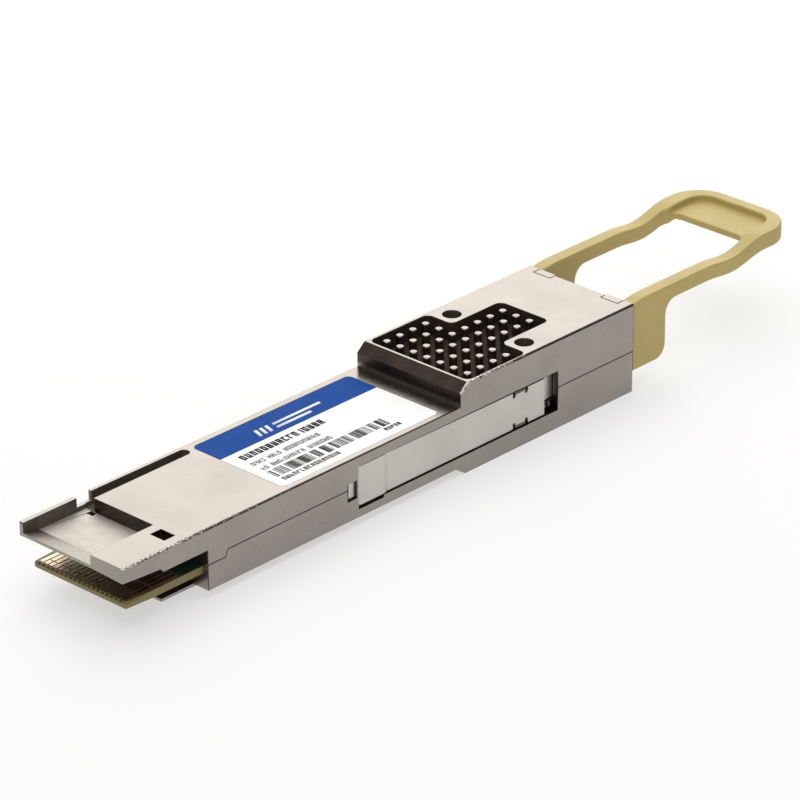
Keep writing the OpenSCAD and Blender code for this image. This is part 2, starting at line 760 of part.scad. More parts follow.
// Two springy hooks that hold a plug
module port_hooks() color([0.16, 0.30, 0.24]) {
  base_half_h = 2.2;
  difference() {
    slab(port_inner_x, port_inner_x + hook_base_t, hook_y + hook_t + 0.3,
         port_z - base_half_h, port_z + base_half_h);
    slab(port_inner_x - 1, port_inner_x + hook_base_t + 1, ferrule_w / 2 + 0.2,
         port_z - ferrule_h / 2 - 0.2, port_z + ferrule_h / 2 + 0.2);
  }
  tip_x = port_inner_x + hook_base_t + hook_l;
  both_sides() translate([0, 0, port_z - hook_h / 2]) linear_extrude(height = hook_h) polygon([
    [port_inner_x + hook_base_t - eps, hook_y], [tip_x - 0.9, hook_y], [tip_x - 0.9, hook_y - 0.4],
    [tip_x - 0.6, hook_y - 0.4], [tip_x, hook_y + 0.1], [tip_x, hook_y + hook_t],
    [port_inner_x + hook_base_t - eps, hook_y + hook_t]
  ]);
}

// Sheet-metal frame that holds the insert, with two lugs over the top edge
module port_retainer() color([0.72, 0.70, 0.67]) {
  half = port_half_w + retainer_edge - retainer_fit;
  x0 = body_l - retainer_t;
  lug_in = lug_y + retainer_fit;
  bar_top = port_z + port_half_h + 0.6;
  difference() {
    slab(x0, body_l, half, port_z - port_half_h - retainer_drop + retainer_fit, top_z);
    slab(x0 - 1, body_l + 1, port_w / 2, port_z - port_h / 2, port_z + port_h / 2);
    slab(x0 - 1, body_l + 1, lug_in, bar_top, top_z + 1);
  }
  both_sides() block([body_l - lug_l + retainer_fit, lug_in, top_z - lug_t], [body_l, half, top_z]);
}

// ---- Small parts on the card ----

module microcontroller() color([0.12, 0.12, 0.13])
  chip(control_x, -4.6, [4, 4, 0.85]);

module reference_oscillator() color([0.70, 0.68, 0.62])
  chip(control_x, 3.2, [2.5, 2.0, 0.7]);

// One coil and one regulator for each of the three supply rails
module power_inductors() color([0.28, 0.27, 0.26])
  for (rail = [-1:1]) chip(bay_x0 + 10.5, rail_pitch * rail, [2.6, 2.2, 1.2]);

module power_regulators() color([0.14, 0.14, 0.15])
  for (rail = [-1:1]) chip(bay_x0 + 14, rail_pitch * rail, [2.4, 3.0, 0.9]);

module bulk_capacitors() color([0.62, 0.50, 0.36]) {
  pitch = 1.9;
  for (i = [-3:3]) chip(bay_x0 + 17.4, pitch * i, [2.0, 1.25, 1.25]);
}

// One capacitor in each signal line, and a row beside the optics
module coupling_capacitors() color([0.60, 0.49, 0.38]) {
  optics_pitch = 1.4;
  for (i = [-8:8]) if (i != 0) chip(bay_x0 + 5.2, pad_pitch * i, [1.0, 0.5, 0.5]);
  for (i = [-3:3]) chip(rear_x - 11, optics_pitch * i, [0.5, 1.0, 0.5]);
}

// Resistors under the card
module bias_resistors() color([0.12, 0.12, 0.14]) {
  size = [1.0, 0.5, 0.35];
  pitch = [5.5, 1.2];
  for (column = [0:3], i = [-4:4])
    translate([bay_high_x + 6 + pitch[0] * column, pitch[1] * i - size[1] / 2, card_z - size[2]]) cube(size);
}

// ---- Release frame, springs and pull tab ----

// Stamped arm on the +Y side
module release_arm() {
  out_y = arm_y + sheet_t;
  strap_out = strap_y + sheet_t;
  // Plate in the window, with its raised front end
  difference() {
    translate([0, 0, arm_z0]) linear_extrude(height = arm_z1 - arm_z0) polygon([
      [arm_x0, arm_y], [arm_x1, arm_y], [arm_x1, out_y], [arm_x0 + hump_l + hump_ramp, out_y],
      [arm_x0 + hump_l, out_y + hump_rise], [arm_x0 + 0.3, out_y + hump_rise], [arm_x0, out_y]
    ]);
    for (x = [foot_x0 - foot_notch, foot_x0 + foot_l], z = [arm_z0 - 1, arm_z1 - foot_notch_h])
      block([x, arm_y - 1, z], [x + foot_notch, out_y + 1, z + foot_notch_h + 1]);
  }
  // Tip that lifts the cage's latch
  block([tip_x0, arm_y, tip_z0], [arm_x0 + eps, half_w - bar_t - slide_gap, tip_z1]);
  // Feet bent inward, and the seat that presses on the spring
  block([foot_x0, spring_y - spring_d / 2, arm_z0], [foot_x0 + foot_l, arm_y + eps, arm_z0 + sheet_t]);
  block([foot_x0 + foot_l - sheet_t, spring_y - spring_d / 2, arm_z0],
        [foot_x0 + foot_l, arm_y + eps, spring_z + spring_d / 2]);
  block([foot_x0, window_y - 0.45, arm_z1 - sheet_t], [foot_x0 + foot_l, arm_y + eps, arm_z1]);
  // Joggled strap that runs back to the pull tab
  translate([0, 0, strap_z0]) linear_extrude(height = strap_z1 - strap_z0) polygon([
    [arm_x1 - sheet_t, strap_y], [strap_end_x, strap_y], [strap_end_x, strap_out],
    [arm_x1, strap_out], [arm_x1, out_y], [arm_x1 - sheet_t, out_y]
  ]);
  // Leg down to the bridge
  block([bridge_x0, strap_y, bridge_z], [bridge_x0 + bridge_l, strap_out, strap_z0 + eps]);
}

module release_frame() color([0.66, 0.65, 0.62]) {
  both_sides() release_arm();
  slab(bridge_x0, bridge_x0 + bridge_l, strap_y + eps, bridge_z, bridge_z + sheet_t);
}

// Coil spring along X, as a tube swept round a helix
module return_spring() {
  sides = 6;
  ring_count = spring_turns * 14;
  wire_r = spring_wire / 2;
  coil_r = spring_d / 2 - wire_r;
  coil_l = spring_x1 - spring_x0 - spring_wire;
  rings = [for (i = [0:ring_count]) let (
      turn = 360 * spring_turns * i / ring_count,
      x = spring_x0 + wire_r + coil_l * i / ring_count)
    for (k = [0:sides - 1]) let (a = 360 * k / sides, r = coil_r + wire_r * cos(a))
      [x + wire_r * sin(a), r * cos(turn), r * sin(turn)]];
  walls = [for (i = [0:ring_count - 1], k = [0:sides - 1]) let (n = (k + 1) % sides)
    [i * sides + k, i * sides + n, (i + 1) * sides + n, (i + 1) * sides + k]];
  start = [for (k = [sides - 1:-1:0]) k];
  end = [for (k = [0:sides - 1]) ring_count * sides + k];
  translate([0, spring_y, spring_z]) polyhedron(points = rings, faces = concat(walls, [start], [end]));
}

module return_spring_left() color([0.75, 0.75, 0.78]) return_spring();

module return_spring_right() color([0.75, 0.75, 0.78]) mirror([0, 1, 0]) return_spring();

// Side outline of the pull tab
module tab_outline() {
  steps = 36;
  root_x1 = body_l + root_l + 0.15;
  fillet_x = root_x1 + root_r;
  under_z = tab_under_at(fillet_x);
  polygon(concat(
    [[tab_x0, root_z]],
    arc(root_x1 - root_r, root_z + root_r, root_r, -90, 0, 8),
    arc(fillet_x, under_z - root_r, root_r, 180, 90, 8),
    [for (i = [1:steps]) let (x = fillet_x + (tab_x1 - fillet_x) * i / steps) [x, tab_under_at(x)]],
    [for (i = [steps:-1:0]) let (x = tab_x0 + (tab_x1 - tab_x0) * i / steps) [x, tab_top_at(x)]]
  ));
}

// Plan of the window between the arms, with round corners at the grip
module tab_window_plan() {
  r = tab_window_r;
  translate([body_l - 1, -tab_inner]) square([grip_x0 - r - body_l + 1, 2 * tab_inner]);
  translate([body_l - 1, -tab_inner + r]) square([grip_x0 - body_l + 1, 2 * (tab_inner - r)]);
  for (y = [-tab_inner + r, tab_inner - r]) translate([grip_x0 - r, y]) circle(r);
}

module pull_tab() color([0.78, 0.72, 0.56]) {
  recess_half = tab_half - thumb_edge;
  difference() {
    intersection() {
      across(-tab_half, tab_half) tab_outline();
      linear_extrude(height = 2 * top_z) union() {
        round_plan(tab_x1 - 2 * grip_r - 1, tab_x1, tab_half, grip_r);
        translate([body_l, -tab_half]) square([tab_reach - grip_r, 2 * tab_half]);
      }
    }
    translate([0, 0, root_z - 1]) linear_extrude(height = 2 * top_z) tab_window_plan();
    // Thumb recess, above and below the plate
    translate([0, 0, grip_top - grip_recess]) linear_extrude(height = top_z)
      round_plan(grip_x0 - 4, tab_x1 - grip_rim_w, recess_half, thumb_r);
    translate([0, 0, -1]) linear_extrude(height = grip_top - grip_recess - grip_plate_t + 1)
      round_plan(grip_x0 - 4, tab_x1 - grip_rim_w, recess_half, thumb_r);
    // The straps are moulded in
    both_sides() block([body_l - 1, strap_y, strap_z0], [strap_end_x, strap_y + sheet_t, strap_z1]);
  }
}

module label() color([0.93, 0.93, 0.94])
  translate([0, 0, cage_h - label_t]) linear_extrude(height = label_t)
    round_plan(label_x, label_x + label_l, label_w / 2, label_r);

home() top_shell();
home() bottom_shell();
home() housing_screws();
home() emi_gasket();
home() front_emi_strips();
home() paddle_card();
home() contact_pads_top();
home() contact_pads_bottom();
home() signal_processor();
home() processor_thermal_pad();
home() laser_driver();
home() receiver_amplifier();
home() driver_thermal_pad();
home() laser_array();
home() photodiode_array();
home() lens_block();
home() ribbon_clamp();
home() fibre_ribbon();
home() ferrule_boot();
home() pin_keeper();
home() mt_ferrule();
home() guide_pins();
home() ferrule_holder();
home() port_insert();
home() port_hooks();
home() port_retainer();
home() microcontroller();
home() reference_oscillator();
home() power_inductors();
home() power_regulators();
home() bulk_capacitors();
home() coupling_capacitors();
home() bias_resistors();
home() release_frame();
home() return_spring_left();
home() return_spring_right();
home() pull_tab();
home() label();
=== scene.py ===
import math
import bmesh
import bpy
from mathutils import Matrix, Vector


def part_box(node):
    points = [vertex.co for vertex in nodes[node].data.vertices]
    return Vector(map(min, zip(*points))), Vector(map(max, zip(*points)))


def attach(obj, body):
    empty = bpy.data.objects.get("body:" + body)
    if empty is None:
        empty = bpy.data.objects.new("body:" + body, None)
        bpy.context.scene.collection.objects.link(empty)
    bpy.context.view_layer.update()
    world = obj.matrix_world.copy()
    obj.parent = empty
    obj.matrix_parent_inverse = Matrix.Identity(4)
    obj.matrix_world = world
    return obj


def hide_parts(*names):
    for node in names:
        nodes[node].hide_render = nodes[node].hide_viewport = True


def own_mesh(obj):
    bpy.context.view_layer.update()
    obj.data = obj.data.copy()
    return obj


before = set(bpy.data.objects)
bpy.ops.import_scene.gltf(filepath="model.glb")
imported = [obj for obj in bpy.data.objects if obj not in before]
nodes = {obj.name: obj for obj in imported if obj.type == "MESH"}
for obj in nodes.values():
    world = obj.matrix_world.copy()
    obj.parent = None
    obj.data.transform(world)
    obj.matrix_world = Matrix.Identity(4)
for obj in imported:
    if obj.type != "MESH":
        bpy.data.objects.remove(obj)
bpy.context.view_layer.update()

# Looks of a pluggable optical transceiver module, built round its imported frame.
# Lengths are metres in the frame of the part. MM turns millimetres into them.
MM = 0.001

shell_low, shell_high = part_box("top_shell")
card_low, card_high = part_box("paddle_card")

CAGE_H = 8.5 * MM
NOSE_X = shell_low.x
HALF_W = shell_high.y
CAGE_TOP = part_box("label")[1].z
UNDER_Z = CAGE_TOP - CAGE_H
REAR_TOP = shell_high.z
PORT_FACE_X = shell_high.x
REAR_X = PORT_FACE_X - 33.75 * MM

# The same in mm, measured as local() does
REAR_TOP_MM = (REAR_TOP - UNDER_Z) / MM
CAGE_TOP_MM = CAGE_H / MM
HALF_W_MM = HALF_W / MM
BODY_L = (PORT_FACE_X - NOSE_X) / MM

SAME_PLACE = 0.002 * MM
FLAT_ANGLE = math.radians(0.3)
CREASE_ANGLE = math.radians(1.5)
WIDE_FACE = 6 * MM * MM


def at(x, y, z):
    """A place given in mm from the nose front, the middle and the underside of the cage part."""
    return Vector((NOSE_X + x * MM, y * MM, UNDER_Z + z * MM))


# ---- Helpers for meshes ----

def link(name, data):
    piece = bpy.data.objects.new(name, data)
    bpy.context.scene.collection.objects.link(piece)
    return piece


def welded(node, clean=None):
    """A copy of a CAD node's mesh with its doubles merged and its flat faces joined."""
    bm = bmesh.new()
    bm.from_mesh(nodes[node].data)
    bmesh.ops.remove_doubles(bm, verts=bm.verts, dist=SAME_PLACE)
    if clean is not None:
        clean(bm)
    bmesh.ops.dissolve_limit(bm, angle_limit=FLAT_ANGLE, verts=bm.verts, edges=bm.edges)
    return bm


def middle(edge):
    return (edge.verts[0].co + edge.verts[1].co) / 2


def local(point):
    """The opposite of at(): mm from the nose front, the middle and the underside."""
    return (point.x - NOSE_X) / MM, point.y / MM, (point.z - UNDER_Z) / MM


def sharp_edges(bm, keep=None, angle=32, shortest=0.0):
    """Edges that turn by more than angle and that keep() accepts by their middle."""
    found = []
    for edge in bm.edges:
        if len(edge.link_faces) != 2 or edge.calc_length() < shortest:
            continue
        if edge.calc_face_angle(0) > math.radians(angle) and (keep is None or keep(middle(edge))):
            found.append(edge)
    return found


def soften(bm, edges, width, segments=2, material=-1):
    """Rounds edges over by width."""
    bmesh.ops.bevel(bm, geom=edges, offset=width, offset_type="OFFSET", segments=segments, profile=0.5,
                    affect="EDGES", clamp_overlap=False, material=material, loop_slide=True)


def mark_shading(bm, smooth_angle):
    """Shades gentle curves smooth, and keeps a crease wherever two wide flat faces meet."""
    for face in bm.faces:
        face.smooth = True
    for edge in bm.edges:
        if len(edge.link_faces) != 2:
            continue
        turn = edge.calc_face_angle(0)
        wide = turn > CREASE_ANGLE and min(f.calc_area() for f in edge.link_faces) > WIDE_FACE
        edge.smooth = turn < math.radians(smooth_angle) and not wide


def as_piece(bm, name, materials, smooth_angle=14):
    """Turns a bmesh into an object whose gentle curves are shaded smooth."""
    mark_shading(bm, smooth_angle)
    mesh = bpy.data.meshes.new(name)
    bm.to_mesh(mesh)
    bm.free()
    for material in materials:
        mesh.materials.append(material)
    return link(name, mesh)


def shade_smooth(piece):
    faces = piece.data.polygons
    faces.foreach_set("use_smooth", [True] * len(faces))


def place(piece, body, slot, *replaced):
    """Rides a finished piece on its body and hides the nodes that it stands for. The slot is not used."""
    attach(piece, body)
    if replaced:
        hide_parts(*replaced)
    return piece


# ---- Helpers for node trees ----

def step(group, kind, inputs=None, **settings):
    """Adds a node; inputs holds values or the sockets that feed it."""
    made = group.nodes.new(kind)
    for key, value in settings.items():
        setattr(made, key, value)
    for key, value in (inputs or {}).items():
        if isinstance(value, bpy.types.NodeSocket):
            group.links.new(value, made.inputs[key])
        else:
            made.inputs[key].default_value = value
    return made


def maths(group, operation, first, second=0.0):
    return step(group, "ShaderNodeMath", {0: first, 1: second}, operation=operation).outputs[0]


def plus(group, first, second):
    return maths(group, "ADD", first, second)


def minus(group, first, second):
    return maths(group, "SUBTRACT", first, second)


def times(group, first, second):
    return maths(group, "MULTIPLY", first, second)


def ratio(group, first, second):
    return maths(group, "DIVIDE", first, second)


def vector(group, x=0.0, y=0.0, z=0.0):
    return step(group, "ShaderNodeCombineXYZ", {"X": x, "Y": y, "Z": z}).outputs[0]


def split(group, where):
    """The X, Y and Z of a vector."""
    return step(group, "ShaderNodeSeparateXYZ", {"Vector": where}).outputs


def shape_curve(group, value, points):
    """Turns a value into another along straight runs between points."""
    shaper = step(group, "ShaderNodeFloatCurve", {"Value": value})
    outline = shaper.mapping.curves[0]
    outline.points[0].location = points[0]
    outline.points[1].location = points[-1]
    for spot in points[1:-1]:
        outline.points.new(*spot)
    for point in outline.points:
        point.handle_type = "VECTOR"
    shaper.mapping.update()
    return shaper.outputs[0]


SOCKET_KINDS = {int: "NodeSocketInt", float: "NodeSocketFloat"}


def new_tree(name, inputs):
    """A geometry tree with a named input for each size and for its finish. Returns it and their sockets."""
    group = bpy.data.node_groups.new(name, "GeometryNodeTree")
    for label, value in inputs.items():
        socket = group.interface.new_socket(name=label, in_out="INPUT", socket_type=SOCKET_KINDS[type(value)])
        socket.default_value = value
    group.interface.new_socket(name="Finish", in_out="INPUT", socket_type="NodeSocketMaterial")
    group.interface.new_socket(name="Mesh", in_out="OUTPUT", socket_type="NodeSocketGeometry")
    given = group.nodes.new("NodeGroupInput")
    return group, given.outputs


def row(group, axis, count, start, pitch):
    """Points in a row along an axis."""
    first, offset = (vector(group, **{axis: value}) for value in (start, pitch))
    return step(group, "GeometryNodeMeshLine", {
        "Count": count, "Start Location": first, "Offset": offset}).outputs[0]


def row_across(group, count, pitch):
    """Points in a row along Y, centred."""
    half = times(group, times(group, pitch, minus(group, count, 1.0)), -0.5)
    return row(group, "y", count, half, pitch)


def row_along(group, count, pitch):
    """Points in a row along X, the first half a pitch in."""
    return row(group, "x", count, times(group, pitch, 0.5), pitch)


def block(group, size, centre):
    """A block of a size, moved to a centre; both are triples."""
    cube = step(group, "GeometryNodeMeshCube", {"Size": vector(group, *size)}).outputs["Mesh"]
    spot = vector(group, *centre)
    return step(group, "GeometryNodeTransform", {"Geometry": cube, "Translation": spot}).outputs[0]


def copies(group, points, shape, **choices):
    """A copy of a shape on each point; choices are Selection, Rotation and Scale."""
    wanted = {"Points": points, "Instance": shape, **choices}
    return step(group, "GeometryNodeInstanceOnPoints", wanted).outputs[0]


def joined(group, *meshes):
    join = step(group, "GeometryNodeJoinGeometry")
    for mesh in meshes:
        group.links.new(mesh, join.inputs[0])
    return join.outputs[0]


# Places of the sockets that the random value node uses for a float
RANDOM_MIN, RANDOM_MAX, RANDOM_SEED, RANDOM_FLOAT = 2, 3, 8, 1


def random_value(group, low, high, seed, salt):
    """A random number for each point, from a seed of its own."""
    wanted = {RANDOM_MIN: low, RANDOM_MAX: high, RANDOM_SEED: plus(group, seed, float(salt))}
    return step(group, "FunctionNodeRandomValue", wanted, data_type="FLOAT").outputs[RANDOM_FLOAT]


def share_of(group, share, seed, salt):
    """Chooses a random share of the points."""
    return maths(group, "LESS_THAN", random_value(group, 0.0, 1.0, seed, salt), share)


def end_tree(group, geometry, given):
    """Makes the tree's result real and paints it. Returns the tree."""
    real = step(group, "GeometryNodeRealizeInstances", {"Geometry": geometry}).outputs[0]
    painted = step(group, "GeometryNodeSetMaterial", {"Geometry": real, "Material": given["Finish"]})
    step(group, "NodeGroupOutput", {"Mesh": painted.outputs[0]})
    return group


def grow(name, group, material, place_at, values=None):
    """Runs a tree, with its own sizes where values has none, and returns a plain mesh in place."""
    piece = link(name, bpy.data.meshes.new(name + "_start"))
    maker = piece.modifiers.new("Make", "NODES")
    maker.node_group = group
    chosen = {"Finish": material, **(values or {})}
    for item in group.interface.items_tree:
        if item.in_out == "INPUT":
            maker[item.identifier] = chosen[item.name] if item.name in chosen else item.default_value
    graph = bpy.context.evaluated_depsgraph_get()
    result = bpy.data.meshes.new_from_object(piece.evaluated_get(graph), depsgraph=graph)
    piece.modifiers.remove(maker)
    piece.data = result
    result.transform(Matrix.Translation(place_at))
    return piece


def join_pieces(name, pieces):
    """Joins plain mesh pieces into one."""
    bm = bmesh.new()
    materials = []
    for piece in pieces:
        first = len(bm.faces)
        bm.from_mesh(piece.data)
        bm.faces.ensure_lookup_table()
        shift = []
        for material in piece.data.materials:
            if material not in materials:
                materials.append(material)
            shift.append(materials.index(material))
        for face in bm.faces[first:]:
            face.material_index = shift[face.material_index]
        bpy.data.objects.remove(piece)
    return as_piece(bm, name, materials)


# ---- Materials ----

def new_material(name):
    material = bpy.data.materials.new(name)
    material.use_nodes = True
    group = material.node_tree
    shader = group.nodes["Principled BSDF"]
    place_node = step(group, "ShaderNodeTexCoord")
    return material, group, shader, place_node.outputs["Object"]


def clouds(group, where, size, detail=3.0, stretch=None):
    """Noise whose lumps are about size across."""
    if stretch is not None:
        where = step(group, "ShaderNodeMapping", {"Vector": where, "Scale": stretch}).outputs[0]
    return step(group, "ShaderNodeTexNoise", {"Vector": where, "Scale": 1 / size, "Detail": detail,
                                              "Roughness": 0.55}).outputs["Fac"]


def spread(group, value, low, high, from_low=0.3, from_high=0.7):
    return step(group, "ShaderNodeMapRange", {"Value": value, "From Min": from_low, "From Max": from_high,
                                              "To Min": low, "To Max": high}).outputs[0]


def mixed(group, factor, first, second):
    first, second = (c if isinstance(c, bpy.types.NodeSocket) else (*c, 1) for c in (first, second))
    return step(group, "ShaderNodeMix", {0: factor, 6: first, 7: second}, data_type="RGBA").outputs[2]


def dress(group, shader, tone, gloss, height, strength, depth, metal=0.0):
    """Feeds a shader its colour, its roughness and its relief."""
    group.links.new(tone, shader.inputs["Base Color"])
    group.links.new(gloss, shader.inputs["Roughness"])
    relief = step(group, "ShaderNodeBump", {"Height": height, "Strength": strength, "Distance": depth})
    group.links.new(relief.outputs[0], shader.inputs["Normal"])
    shader.inputs["Metallic"].default_value = metal


def finish(name, colour, second, rough, metal=0.0, cloud=3, grain=0.08, bump=0.1, depth=0.01,
           stretch=None, coat=0.0, specular=0.5):
    """A finish that drifts between two tones, with a fine grain in its gloss and relief. Sizes in mm."""
    material, group, shader, where = new_material(name)
    drift = clouds(group, where, cloud * MM)
    fine = clouds(group, where, grain * MM, detail=2.0, stretch=stretch)
    tone = mixed(group, spread(group, drift, 0.0, 1.0), colour, second)
    both = plus(group, times(group, drift, 0.5), times(group, fine, 0.5))
    dress(group, shader, tone, spread(group, both, *rough), fine, bump, depth * MM, metal)
    shader.inputs["Coat Weight"].default_value = coat
    shader.inputs["Specular IOR Level"].default_value = specular
    return material


def layered_board(name):
    """Glass laminate: straw-coloured, with the thin lines of its layers in the cut edge."""
    material, group, shader, where = new_material(name)
    layer_pitch = 0.2 * MM
    wave = maths(group, "SINE", times(group, split(group, where)["Z"], 2 * math.pi / layer_pitch))
    weave = clouds(group, where, 0.25 * MM, detail=2.0)
    light = mixed(group, weave, (0.29, 0.225, 0.075), (0.21, 0.16, 0.05))
    tone = mixed(group, spread(group, wave, 0.0, 0.85, 0.2, 1.0), light, (0.13, 0.095, 0.03))
    dress(group, shader, tone, spread(group, weave, 0.42, 0.6), weave, 0.15, 0.02 * MM)
    return material


def shaded_front(name):
    """The steep front of the raised body, with painted shade: dark and speckled, and clearing up towards its
    foot.
    """
    material, group, shader, where = new_material(name)
    height = split(group, where)["Z"]
    speckle = clouds(group, where, 0.09 * MM, detail=3.0)
    drift = clouds(group, where, 2.5 * MM)
    jitter = times(group, minus(group, speckle, 0.5), 0.9 * MM)
    broken = plus(group, height, jitter)
    share = spread(group, broken, 0.0, 1.0, CAGE_TOP + 0.1 * MM, CAGE_TOP + 0.75 * MM)
    dark = mixed(group, spread(group, drift, 0.0, 1.0), (0.08, 0.06, 0.05), (0.05, 0.038, 0.032))
    dark = mixed(group, spread(group, speckle, 0.0, 0.5, 0.6, 0.75), dark, (0.3, 0.26, 0.23))
    tone = mixed(group, share, (0.44, 0.405, 0.365), dark)
    dress(group, shader, tone, spread(group, speckle, 0.26, 0.42), speckle, 0.4, 0.03 * MM, 1.0)
    return material


def worn_and_shaded_rim(name):
    """A worn long edge with painted shade: sparkling nicks by the nose, and mostly painted dark shade further
    along.
    """
    material, group, shader, where = new_material(name)
    share = ratio(group, minus(group, split(group, where)["X"], NOSE_X), PORT_FACE_X - NOSE_X)
    # How much of the edge is painted dark shade, by how far along it lies
    shade_share = shape_curve(group, share, ((0, 0.45), (0.09, 0.5), (0.14, 0.7), (0.28, 0.9), (0.32, 1.0),
                                            (0.635, 1.0), (0.64, 0.3), (0.72, 0.5), (0.78, 1.0), (1, 1.0)))
    nicks = spread(group, clouds(group, where, 0.2 * MM, detail=4.0), 0.0, 1.0, 0.34, 0.66)
    is_shaded = spread(group, minus(group, shade_share, nicks), 0.0, 1.0, -0.06, 0.0)
    tone = mixed(group, is_shaded, (0.72, 0.67, 0.61), (0.055, 0.042, 0.034))
    dress(group, shader, tone, spread(group, nicks, 0.2, 0.5, 0.0, 1.0), nicks, 0.8, 0.06 * MM, 1.0)
    return material


def striped(name, colours, pitch, rough):
    """Stripes side by side across Y, as in a flat ribbon of coated fibres."""
    material, group, shader, where = new_material(name)
    wave = maths(group, "SINE", times(group, split(group, where)["Y"], 2 * math.pi / pitch))
    drift = clouds(group, where, 0.8 * MM)
    tone = mixed(group, spread(group, wave, 0.0, 1.0, -0.6, 0.6), colours[0], colours[1])
    tone = mixed(group, spread(group, drift, 0.0, 0.35), tone, colours[2])
    dress(group, shader, tone, spread(group, drift, *rough), wave, 0.4, 0.03 * MM)
    return material


satin_nickel = finish("satin_nickel", (0.325, 0.296, 0.264), (0.29, 0.262, 0.234), (0.2, 0.3), metal=1.0,
                      cloud=7, grain=0.16, bump=0.10, depth=0.006)
# Painted shade for the side window recesses and the back wall of the nose recess
recess_shade_cast = finish("recess_shade_casting", (0.11, 0.085, 0.07), (0.075, 0.057, 0.047), (0.28, 0.4), metal=1.0,
                   cloud=1.5, grain=0.12, bump=0.25, depth=0.02)
cast_floor = finish("cast_floor", (0.60, 0.555, 0.51), (0.55, 0.505, 0.465), (0.6, 0.7), metal=1.0, cloud=2,
                    grain=0.1, bump=0.5, depth=0.03)
# Painted shade for screw holes, the thin wall's inner face, the groove's floor, under the nose and on the
# release frame
painted_shade_brown = finish("painted_shade_brown", (0.17, 0.14, 0.12), (0.12, 0.096, 0.082), (0.4, 0.52), metal=0.5, cloud=2,
                    grain=0.12, bump=0.2, depth=0.015)
pocket_shade = finish("pocket_shade", (0.055, 0.04, 0.032), (0.04, 0.029, 0.023), (0.6, 0.75), cloud=2,
                      grain=0.12, bump=0.2, depth=0.015, specular=0.12)
ramp_cast = finish("ramp_casting", (0.33, 0.3, 0.268), (0.28, 0.254, 0.226), (0.34, 0.5), metal=1.0,
                   cloud=0.22, grain=0.14, bump=0.35, depth=0.02)
# Dark line for joints between parts, also used as painted shade in the release frame's notches and along its
# arms' top edges
seam_and_shade_line = finish("seam_and_shade_line", (0.03, 0.022, 0.018), (0.045, 0.035, 0.03), (0.6, 0.7), cloud=1, grain=0.1,
                   bump=0.2, depth=0.01)
stamped_steel = finish("stamped_steel", (0.56, 0.55, 0.505), (0.52, 0.51, 0.468), (0.3, 0.4), metal=1.0,
                       cloud=5, grain=0.1, bump=0.08, depth=0.006, stretch=(0.15, 1, 1))
dark_screw = finish("dark_screw", (0.16, 0.145, 0.135), (0.11, 0.1, 0.09), (0.3, 0.45), metal=1.0,
                    cloud=0.6, grain=0.08, bump=0.2, depth=0.01)
ground_steel = finish("ground_steel", (0.62, 0.62, 0.63), (0.56, 0.56, 0.57), (0.12, 0.2), metal=1.0,
                      cloud=1, grain=0.05, bump=0.05, depth=0.004, stretch=(1, 0.1, 0.1))
spring_wire = finish("spring_wire", (0.5, 0.5, 0.52), (0.4, 0.4, 0.42), (0.22, 0.34), metal=1.0, cloud=0.4,
                     grain=0.03, bump=0.1, depth=0.003)
hard_gold = finish("hard_gold", (0.56, 0.45, 0.3), (0.5, 0.4, 0.255), (0.21, 0.27), metal=1.0, cloud=1.2,
                   grain=0.05, bump=0.03, depth=0.002)
beige_rubber = finish("beige_rubber", (0.52, 0.41, 0.142), (0.485, 0.38, 0.127), (0.46, 0.58), cloud=6,
                      grain=0.12, bump=0.14, depth=0.01, specular=0.4)
label_film = finish("label_film", (0.95, 0.95, 0.955), (0.92, 0.92, 0.925), (0.55, 0.65), cloud=4,
                    grain=0.09, bump=0.05, depth=0.006, specular=0.25)
label_blue = finish("label_blue", (0.002, 0.066, 0.32), (0.001, 0.058, 0.3), (0.6, 0.7), cloud=4,
                    grain=0.07, bump=0.05, depth=0.005, specular=0.08)
label_ink = finish("label_ink", (0.004, 0.004, 0.0045), (0.009, 0.009, 0.01), (0.4, 0.55), cloud=0.7,
                   grain=0.05, bump=0.06, depth=0.004, specular=0.15)
print_white = finish("print_white", (0.86, 0.88, 0.92), (0.8, 0.83, 0.9), (0.4, 0.5), cloud=0.7, grain=0.05,
                     bump=0.05, depth=0.004)
board = layered_board("laminate_board")
solder_mask = finish("solder_mask", (0.01, 0.085, 0.04), (0.008, 0.06, 0.03), (0.25, 0.36), cloud=1.5,
                     grain=0.3, bump=0.12, depth=0.02, coat=0.2)
moulded_chip = finish("moulded_chip", (0.022, 0.022, 0.024), (0.035, 0.035, 0.037), (0.5, 0.62), cloud=1,
                      grain=0.06, bump=0.25, depth=0.012)
silicon = finish("polished_silicon", (0.10, 0.10, 0.14), (0.14, 0.13, 0.17), (0.06, 0.12), metal=0.6,
                 cloud=0.5, grain=0.06, bump=0.03, depth=0.002)
gap_filler = finish("gap_filler", (0.26, 0.31, 0.38), (0.31, 0.36, 0.42), (0.7, 0.85), cloud=0.8, grain=0.1,
                    bump=0.3, depth=0.03)
absorber = finish("absorber", (0.022, 0.022, 0.024), (0.035, 0.035, 0.036), (0.75, 0.9), cloud=0.6,
                  grain=0.08, bump=0.4, depth=0.03)
amber_lens = finish("amber_lens", (0.55, 0.24, 0.035), (0.5, 0.2, 0.03), (0.08, 0.14), cloud=2, grain=0.2,
                    bump=0.02, depth=0.004, coat=0.3)
glass_filled = finish("glass_filled", (0.035, 0.032, 0.03), (0.06, 0.055, 0.05), (0.3, 0.42), cloud=0.5,
                      grain=0.07, bump=0.15, depth=0.01)
black_moulding = finish("black_moulding", (0.012, 0.012, 0.013), (0.02, 0.02, 0.021), (0.36, 0.5), cloud=2,
                        grain=0.09, bump=0.18, depth=0.012)
green_moulding = finish("green_moulding", (0.02, 0.075, 0.045), (0.016, 0.06, 0.036), (0.34, 0.46), cloud=2,
                        grain=0.09, bump=0.15, depth=0.012)
